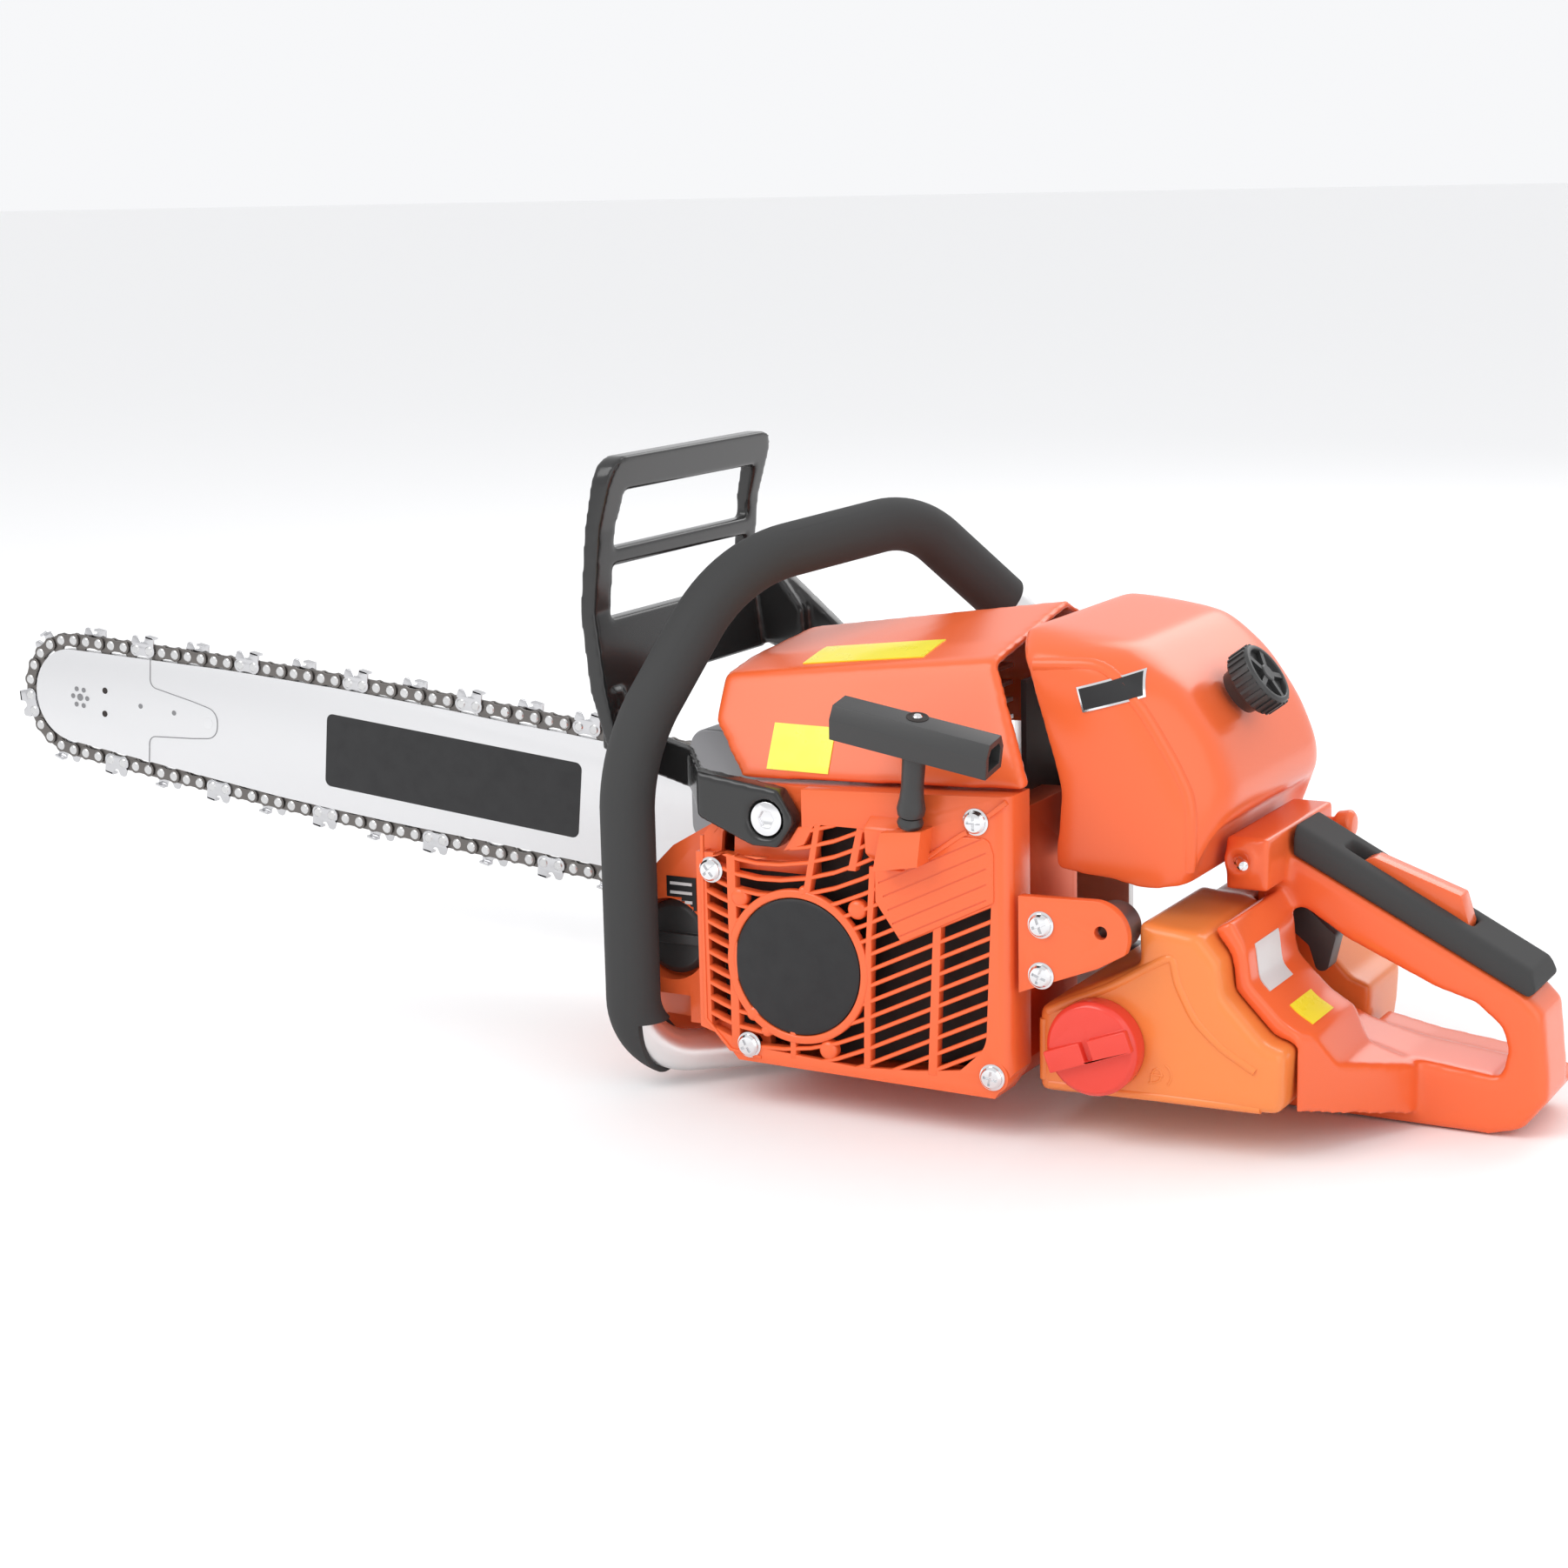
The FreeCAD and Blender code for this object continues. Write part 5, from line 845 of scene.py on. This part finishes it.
def decal(name, tree, centre, across, up, size, into, thick=0.3, parts=10):
    """A thin label that follows the surface under it. centre, size and thick in millimetres."""
    across, up = Vector(across).normalized(), Vector(up).normalized()
    top, bottom = [], []
    for i in range(parts + 1):
        for j in range(parts + 1):
            start = Vector(centre) + across * (size[0] * (i / parts - 0.5)) + up * (size[1] * (j / parts - 0.5))
            spot, normal = landing(tree, start, into)
            top.append(spot + normal * (thick * MM))
            bottom.append(spot - normal * (0.2 * MM))
    row, half = parts + 1, (parts + 1) ** 2
    faces = []
    for i in range(parts):
        for j in range(parts):
            a = i * row + j
            faces.append((a, a + 1, a + row + 1, a + row))
            faces.append((a + half, a + half + row, a + half + row + 1, a + half + 1))
    rim = ([i * row for i in range(parts)] + [parts * row + j for j in range(parts)]
           + [i * row + parts for i in range(parts, 0, -1)] + list(range(parts, 0, -1)))
    for a, b in zip(rim, rim[1:] + rim[:1]):
        faces.append((a, b, b + half, a + half))
    return outward(mesh_object(name, top + bottom, faces))


def tube(name, points, radius, closed=False):
    """A round bar through points in metres."""
    curve = bpy.data.curves.new(name, "CURVE")
    curve.dimensions = "3D"
    curve.bevel_depth = radius * MM
    curve.bevel_resolution = 3
    curve.use_fill_caps = True
    spline = curve.splines.new("POLY")
    spline.points.add(len(points) - 1)
    for spot, point in zip(spline.points, points):
        spot.co = (*point, 1)
    spline.use_cyclic_u = closed
    return baked(link(bpy.data.objects.new(name + "_curve", curve)), name)


def bead(name, tree, run, y, into, radius, sunk, steps=6, closed=False):
    """A raised line on a surface, through points in X and Z at one Y; it stands radius minus sunk proud."""
    corners = [Vector((x, z)) for x, z in run]
    spots = []
    pairs = list(zip(corners, corners[1:] + corners[:1])) if closed else list(zip(corners, corners[1:]))
    for a, b in pairs:
        spots += [a.lerp(b, k / steps) for k in range(steps)]
    if not closed:
        spots.append(corners[-1])
    for _ in range(3):
        inner = [(spots[i - 1] + spots[i] * 2 + spots[i + 1]) / 4 for i in range(1, len(spots) - 1)]
        spots = [spots[0]] + inner + [spots[-1]]
    points = []
    for spot in spots:
        hit, normal = landing(tree, Vector((spot.x, y, spot.y)) - Vector(into) * 60, into)
        points.append(hit - normal * (sunk * MM))
    return tube(name, points, radius, closed)


INWARD = (0, 1, 0)
ASLANT = (-0.37, 0.908, -0.2)


class CHAINSAW_OT_shells(bpy.types.Operator):
    """Covers, fuel tank, guard and rear handle, with blank labels and raised lines"""
    bl_idname = "chainsaw.shells"
    bl_label = "Moulded shells"

    def execute(self, context):
        self.covers()
        self.tank()
        self.handle()
        guard = melted("hand_guard", 1.2, 9)
        settle(guard, paint("black_gloss"), "hand_guard", "guard", 180)
        return {"FINISHED"}

    def covers(self):
        front = melted("cylinder_cover", 1.7, 26)
        below = target_of(front)
        settle(front, paint("shell_orange"), "cylinder_cover", angle=180)
        settle(decal("side_label", below, (-4, -130, 169), (1, 0, 0), (0, 0, 1), (32, 20), INWARD, 0.5),
               paint("label_yellow"))
        settle(decal("top_label", below, (16, -66, 300), (1, 0, 0), (0, 1, 0), (62, 24), (0, 0, -1), 0.5),
               paint("label_yellow"))
        rear = melted("air_cleaner_cover", 1.7, 190)
        below = target_of(rear)
        run = ((108, 214), (142, 217), (160, 197), (175, 174), (183, 158), (183, 126))
        rear = joined("air_cleaner_cover_look", rear, bead("cover_line", below, run, -95, ASLANT, 3.6, 2.4))
        settle(rear, paint("shell_orange"), "air_cleaner_cover", angle=180)
        lean = Vector((0.96, 0, 0.27))
        up = Vector((-0.27, 0, 0.96))
        spot = (140, -130, 201)
        settle(decal("plate_frame", below, spot, lean, up, (28, 11.5), INWARD, 0.7), paint("bolt_chrome"))
        settle(decal("name_plate_look", below, spot, lean, up, (26, 9.6), INWARD, 1.3), paint("label_black"),
               "name_plate")

    def tank(self):
        tank = melted("fuel_tank", 1.6, 22)
        side = target_of(tank)
        rims = [bead("tank_rim", side, run, -100, INWARD, 2.4, 1.3) for run in (
            ((116, 58), (128, 64), (146, 72), (162, 82), (176, 90), (178, 78), (186, 62), (198, 51), (214, 42)),
            ((117, 24), (216, 24)), ((114, 26), (114, 54)))]
        icon = [bead("tank_icon", side, run, -100, INWARD, 0.6, 0.2, 2) for run in (
            ((166, 31), (166, 39), (172, 39), (172, 31), (165, 31)), ((174, 31), (176, 33), (176, 38), (173, 40)),
            ((166, 35), (172, 35)))]
        settle(joined("fuel_tank_look", tank, *rims, *icon), paint("tank_amber"), "fuel_tank", angle=180)
        cap = clean_copy("fuel_cap")
        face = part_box("fuel_cap")[0].y / MM
        cap = carved(cap, box_between("notch", (139.5, face - 1, 42), (143.5, face + 4, 60)))
        centre = Vector((142 * MM, 0, 46 * MM))
        cap.data.transform(Matrix.Translation(centre) @ Matrix.Rotation(math.radians(-20), 4, "Y")
                           @ Matrix.Translation(-centre))
        settle(rounded(cap, 0.8 * MM, 3), paint("cap_red"), "fuel_cap", "fuel_filler_cap")

    def handle(self):
        handle = melted("rear_handle_frame", 1.5, 16)
        settle(handle, paint("orange_plastic"), "rear_handle_frame", angle=180)
        grip = melted("rear_grip", 1.2, 8)
        settle(grip, paint("grip_rubber"), "rear_grip", angle=180)


# --- Fittings ---

PULL = (0.171, -0.2, 0.965)
ROPE_EXIT = (62, -124.6, 142)
SCREWS = ((91, -118, 146), (-44, -118, 112), (98, -118, 30), (-26, -118, 30), (121, -116, 79), (121, -116, 102))


def round_axis(at, direction, count, radius, height):
    """Places for repeated(), evenly round an axis, local X outwards."""
    turn = Vector((0, 0, 1)).rotation_difference(Vector(direction)).to_matrix()
    places = []
    for i in range(count):
        here = turn @ Matrix.Rotation(2 * math.pi * i / count, 3, "Z")
        places.append(((Vector(at) + here @ Vector((radius, 0, height))) * MM, here.to_euler()))
    return places


class CHAINSAW_OT_fittings(bpy.types.Operator):
    """Cross-head screws, ribbed cover knob, rope handle, front sleeve, blank data plates and handle labels"""
    bl_idname = "chainsaw.fittings"
    bl_label = "Fittings"

    def execute(self, context):
        chrome = paint("bolt_chrome")
        head = turned("screw_head", [(6.1, -0.2), (6.1, 0.6), (5.2, 0.9), (5.1, 2.1), (4.2, 3.1), (2.2, 3.4)],
                      (0, 0, 0), (0, 0, 1), 40)
        head = carved(head, box_between("slot", (-3.4, -0.65, 1.9), (3.4, 0.65, 5)),
                      box_between("cross", (-0.65, -3.4, 1.9), (0.65, 3.4, 5)))
        places = [(Vector(at) * MM, aim(LEFT, i * 0.7)) for i, at in enumerate(SCREWS)]
        settle(repeated("housing_screws_look", head, places, chrome), None, "housing_screws")
        self.knob(context.scene.chainsaw_housing.ribs)
        bar = dress("starter_handle", 1.8, 4, material=paint("black_satin"))
        spot, normal = landing(target_of(bar), (75, -138, 220), tuple(-c for c in PULL))
        at = spot / MM
        # Painted shade: a flat near-black disc stands for the shade in the handle's hole; a chrome pin sits in its
        # middle.
        settle(turned("handle_dish", [(5, -1), (5, 0.25), (4.2, 0.3), (4, 0.1)], at, normal, 40),
               paint("hollow_dark"), body="rope_handle")
        settle(turned("handle_pin", [(2.2, -0.5), (2.2, 0.5), (1.6, 1.1)], at, normal, 24), chrome,
               body="rope_handle")
        bare_end = box_between("open_end", (-82, -140, -12), (40, -30, 34))
        sleeve = carved(clean_copy("front_handle_grip"), bare_end)
        settle(sleeve, paint("grip_rubber"), "front_handle_grip", angle=60)
        oil = target_of(dress("oil_tank", 3))
        settle(decal("data_field", oil, (-71, -130, 92), (1, 0, 0), (0, 0, 1), (16, 20), INWARD, 0.45),
               paint("label_black"))
        for i in range(4):
            line = decal("data_line", oil, (-71, -130, 85.5 + i * 4.4), (1, 0, 0), (0, 0, 1), (12, 1.4), INWARD,
                         0.8, 3)
            settle(line, paint("label_white"))
        wall = target_of(bpy.data.objects["rear_handle_frame_look"])
        for name, spot, up, size, into in (
                ("white_label", (222, -58, 93), (-0.5, 0, 0.86), (30, 21), (-0.75, 0, -0.6)),
                ("yellow_label", (230, -53, 75), (-0.85, 0, 0.5), (28, 13), (-0.4, 0, -0.9))):
            coat = paint("_".join(reversed(name.split("_"))))
            settle(decal(name, wall, spot, (0, 1, 0), up, size, into, 0.45), coat)
        self.rope()
        # Painted shade: a thin black wall that darkens the gap between the covers.
        settle(box_between("air_box_wall", (88, -62, 112), (90.5, 40, 200)), paint("black_satin"))
        return {"FINISHED"}

    def rope(self):
        """The stretch of cord from its bush to the pull handle."""
        pull = Vector(PULL).normalized()
        points = [(Vector(ROPE_EXIT) + pull * (i / 2 - 2)) * MM for i in range(23)]
        cord = tube("pull_cord", points, 1.7)
        cord.data.materials.append(paint("rope_cord"))
        shade(cord, 60)
        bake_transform(cord)

    def knob(self, count):
        hinge = next(j for j in frame["record"]["behaviour"]["joints"] if j["name"] == "cover_knob_turn")
        at, axis = Vector(hinge["pos_m"]) / MM, hinge["axis"]
        black = paint("black_satin")
        core = turned("knob_core", [(10.5, 0), (11.5, 5), (14.8, 6), (15.2, 7), (15.2, 16.4), (14.4, 17.6),
                                    (12.8, 17.8), (12.4, 17.4), (12.2, 15)], at, axis)
        ribs = repeated("knob_ribs", box_between("rib", (-0.6, -0.7, -4.6), (0.7, 0.7, 4.6)),
                        round_axis(at, axis, count, 15.2, 11.6), black)
        spokes = repeated("knob_spokes", box_between("spoke", (-4.5, -1.3, -1.4), (4.5, 1.3, 1.4)),
                          round_axis(at, axis, 5, 8.2, 15.8), black)
        hub = turned("knob_hub", [(4.2, 14), (4.2, 17.4), (3.6, 17.9)], at, axis, 40)
        for piece in (ribs, spokes):
            piece.data.materials.clear()
        settle(joined("cover_knob_look", rounded(core, 0.3 * MM, 2), ribs, spokes, hub), black, "cover_knob",
               "cover_fastener")


# --- Plain pieces ---

ROUNDED = {
    "crankcase_left": 0.8, "crankcase_right": 1, "av_bracket": 0.9, "throttle_trigger": 1.6,
    "throttle_lockout": 1.5, "handle_bracket": 1.2, "clutch_cover": 2.5, "muffler": 2.5, "choke_knob": 0.8,
    "spiked_bumper": 0.4, "bar_nuts": 0.5, "oil_cap": 0.8, "guard_screws": 0.4,
}


class CHAINSAW_OT_plain(bpy.types.Operator):
    """Every CAD piece that nothing else stands for, rounded where it shows"""
    bl_idname = "chainsaw.plain"
    bl_label = "Other pieces"

    def execute(self, context):
        for node in frame["nodes"]:
            if node not in shown:
                dress(node, ROUNDED.get(node, 0))
        return {"FINISHED"}


# --- Stage ---

class CHAINSAW_OT_stage(bpy.types.Operator):
    """Pale floor, soft studio lights and the camera"""
    bl_idname = "chainsaw.stage"
    bl_label = "Stage"

    def execute(self, context):
        stage = context.scene.chainsaw_stage
        corners = [(x, y, -0.0005) for x, y in ((-40, -40), (40, -40), (40, 40), (-40, 40))]
        floor = mesh_object("floor", corners, [(0, 1, 2, 3)])
        floor.data.materials.append(surface("floor_paint", tuple(stage.ground), 0.75, bump=0, drift=0))
        world = bpy.data.worlds.new("studio")
        world.use_nodes = True
        world.node_tree.nodes["Background"].inputs["Color"].default_value = (0.98, 0.985, 1, 1)
        world.node_tree.nodes["Background"].inputs["Strength"].default_value = 0.95
        context.scene.world = world
        context.scene.view_settings.view_transform = "Standard"
        for name, power, size, at in (("key", stage.key, 1.6, (-0.9, -1.7, 1.9)),
                                      ("fill", stage.fill, 2.2, (1.9, -1.3, 1.0)),
                                      ("rim", stage.fill, 1.4, (0.3, 1.8, 1.5))):
            light = bpy.data.lights.new(name, "AREA")
            light.energy = power
            light.size = size
            lamp = link(bpy.data.objects.new(name, light))
            lamp.location = at
            lamp.rotation_euler = (Vector((-0.1, 0, 0.1)) - Vector(at)).to_track_quat("-Z", "Y").to_euler()
        self.camera(context, stage)
        return {"FINISHED"}

    def camera(self, context, stage):
        turn, tip, roll = (math.radians(a) for a in (28.767, 11.696, -1.3326))
        camera = bpy.data.cameras.new("camera")
        camera.lens = stage.lens
        camera.sensor_width = 36
        camera.clip_end = 100
        eye = link(bpy.data.objects.new("camera", camera))
        eye.matrix_world = (Matrix.Translation((0.63017, -1.27422, 0.42853)) @ Matrix.Rotation(turn, 4, "Z")
                            @ Matrix.Rotation(math.pi / 2 - tip, 4, "X") @ Matrix.Rotation(roll, 4, "Z"))
        context.scene.camera = eye


# --- Add-on ---

OPERATORS = (CHAINSAW_OT_chain, CHAINSAW_OT_bar, CHAINSAW_OT_housing, CHAINSAW_OT_shells,
             CHAINSAW_OT_fittings, CHAINSAW_OT_plain, CHAINSAW_OT_stage)


class CHAINSAW_PT_panel(bpy.types.Panel):
    """Sizes and colours, and the operators that build each group"""
    bl_idname = "CHAINSAW_PT_panel"
    bl_label = "Chainsaw"
    bl_space_type = "VIEW_3D"
    bl_region_type = "UI"
    bl_category = "Chainsaw"

    def draw(self, context):
        for word in GROUPS:
            box = self.layout.box()
            group = getattr(context.scene, word)
            for item in group.bl_rna.properties:
                if item.identifier not in ("rna_type", "name"):
                    box.prop(group, item.identifier)
        for operator in OPERATORS:
            self.layout.operator(operator.bl_idname)


GROUPS = {"chainsaw_paint": ChainsawPaint, "chainsaw_chain": ChainsawChain, "chainsaw_housing": ChainsawHousing,
          "chainsaw_stage": ChainsawStage}


def register():
    for word, group in GROUPS.items():
        bpy.utils.register_class(group)
        setattr(bpy.types.Scene, word, PointerProperty(type=group))
    for operator in OPERATORS:
        bpy.utils.register_class(operator)
    bpy.utils.register_class(CHAINSAW_PT_panel)


def unregister():
    bpy.utils.unregister_class(CHAINSAW_PT_panel)
    for operator in reversed(OPERATORS):
        bpy.utils.unregister_class(operator)
    for word, group in reversed(list(GROUPS.items())):
        delattr(bpy.types.Scene, word)
        bpy.utils.unregister_class(group)


def main():
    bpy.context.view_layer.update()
    register()
    for operator in OPERATORS:
        group, name = operator.bl_idname.split(".")
        getattr(getattr(bpy.ops, group), name)()


if __name__ == "__main__":
    main()
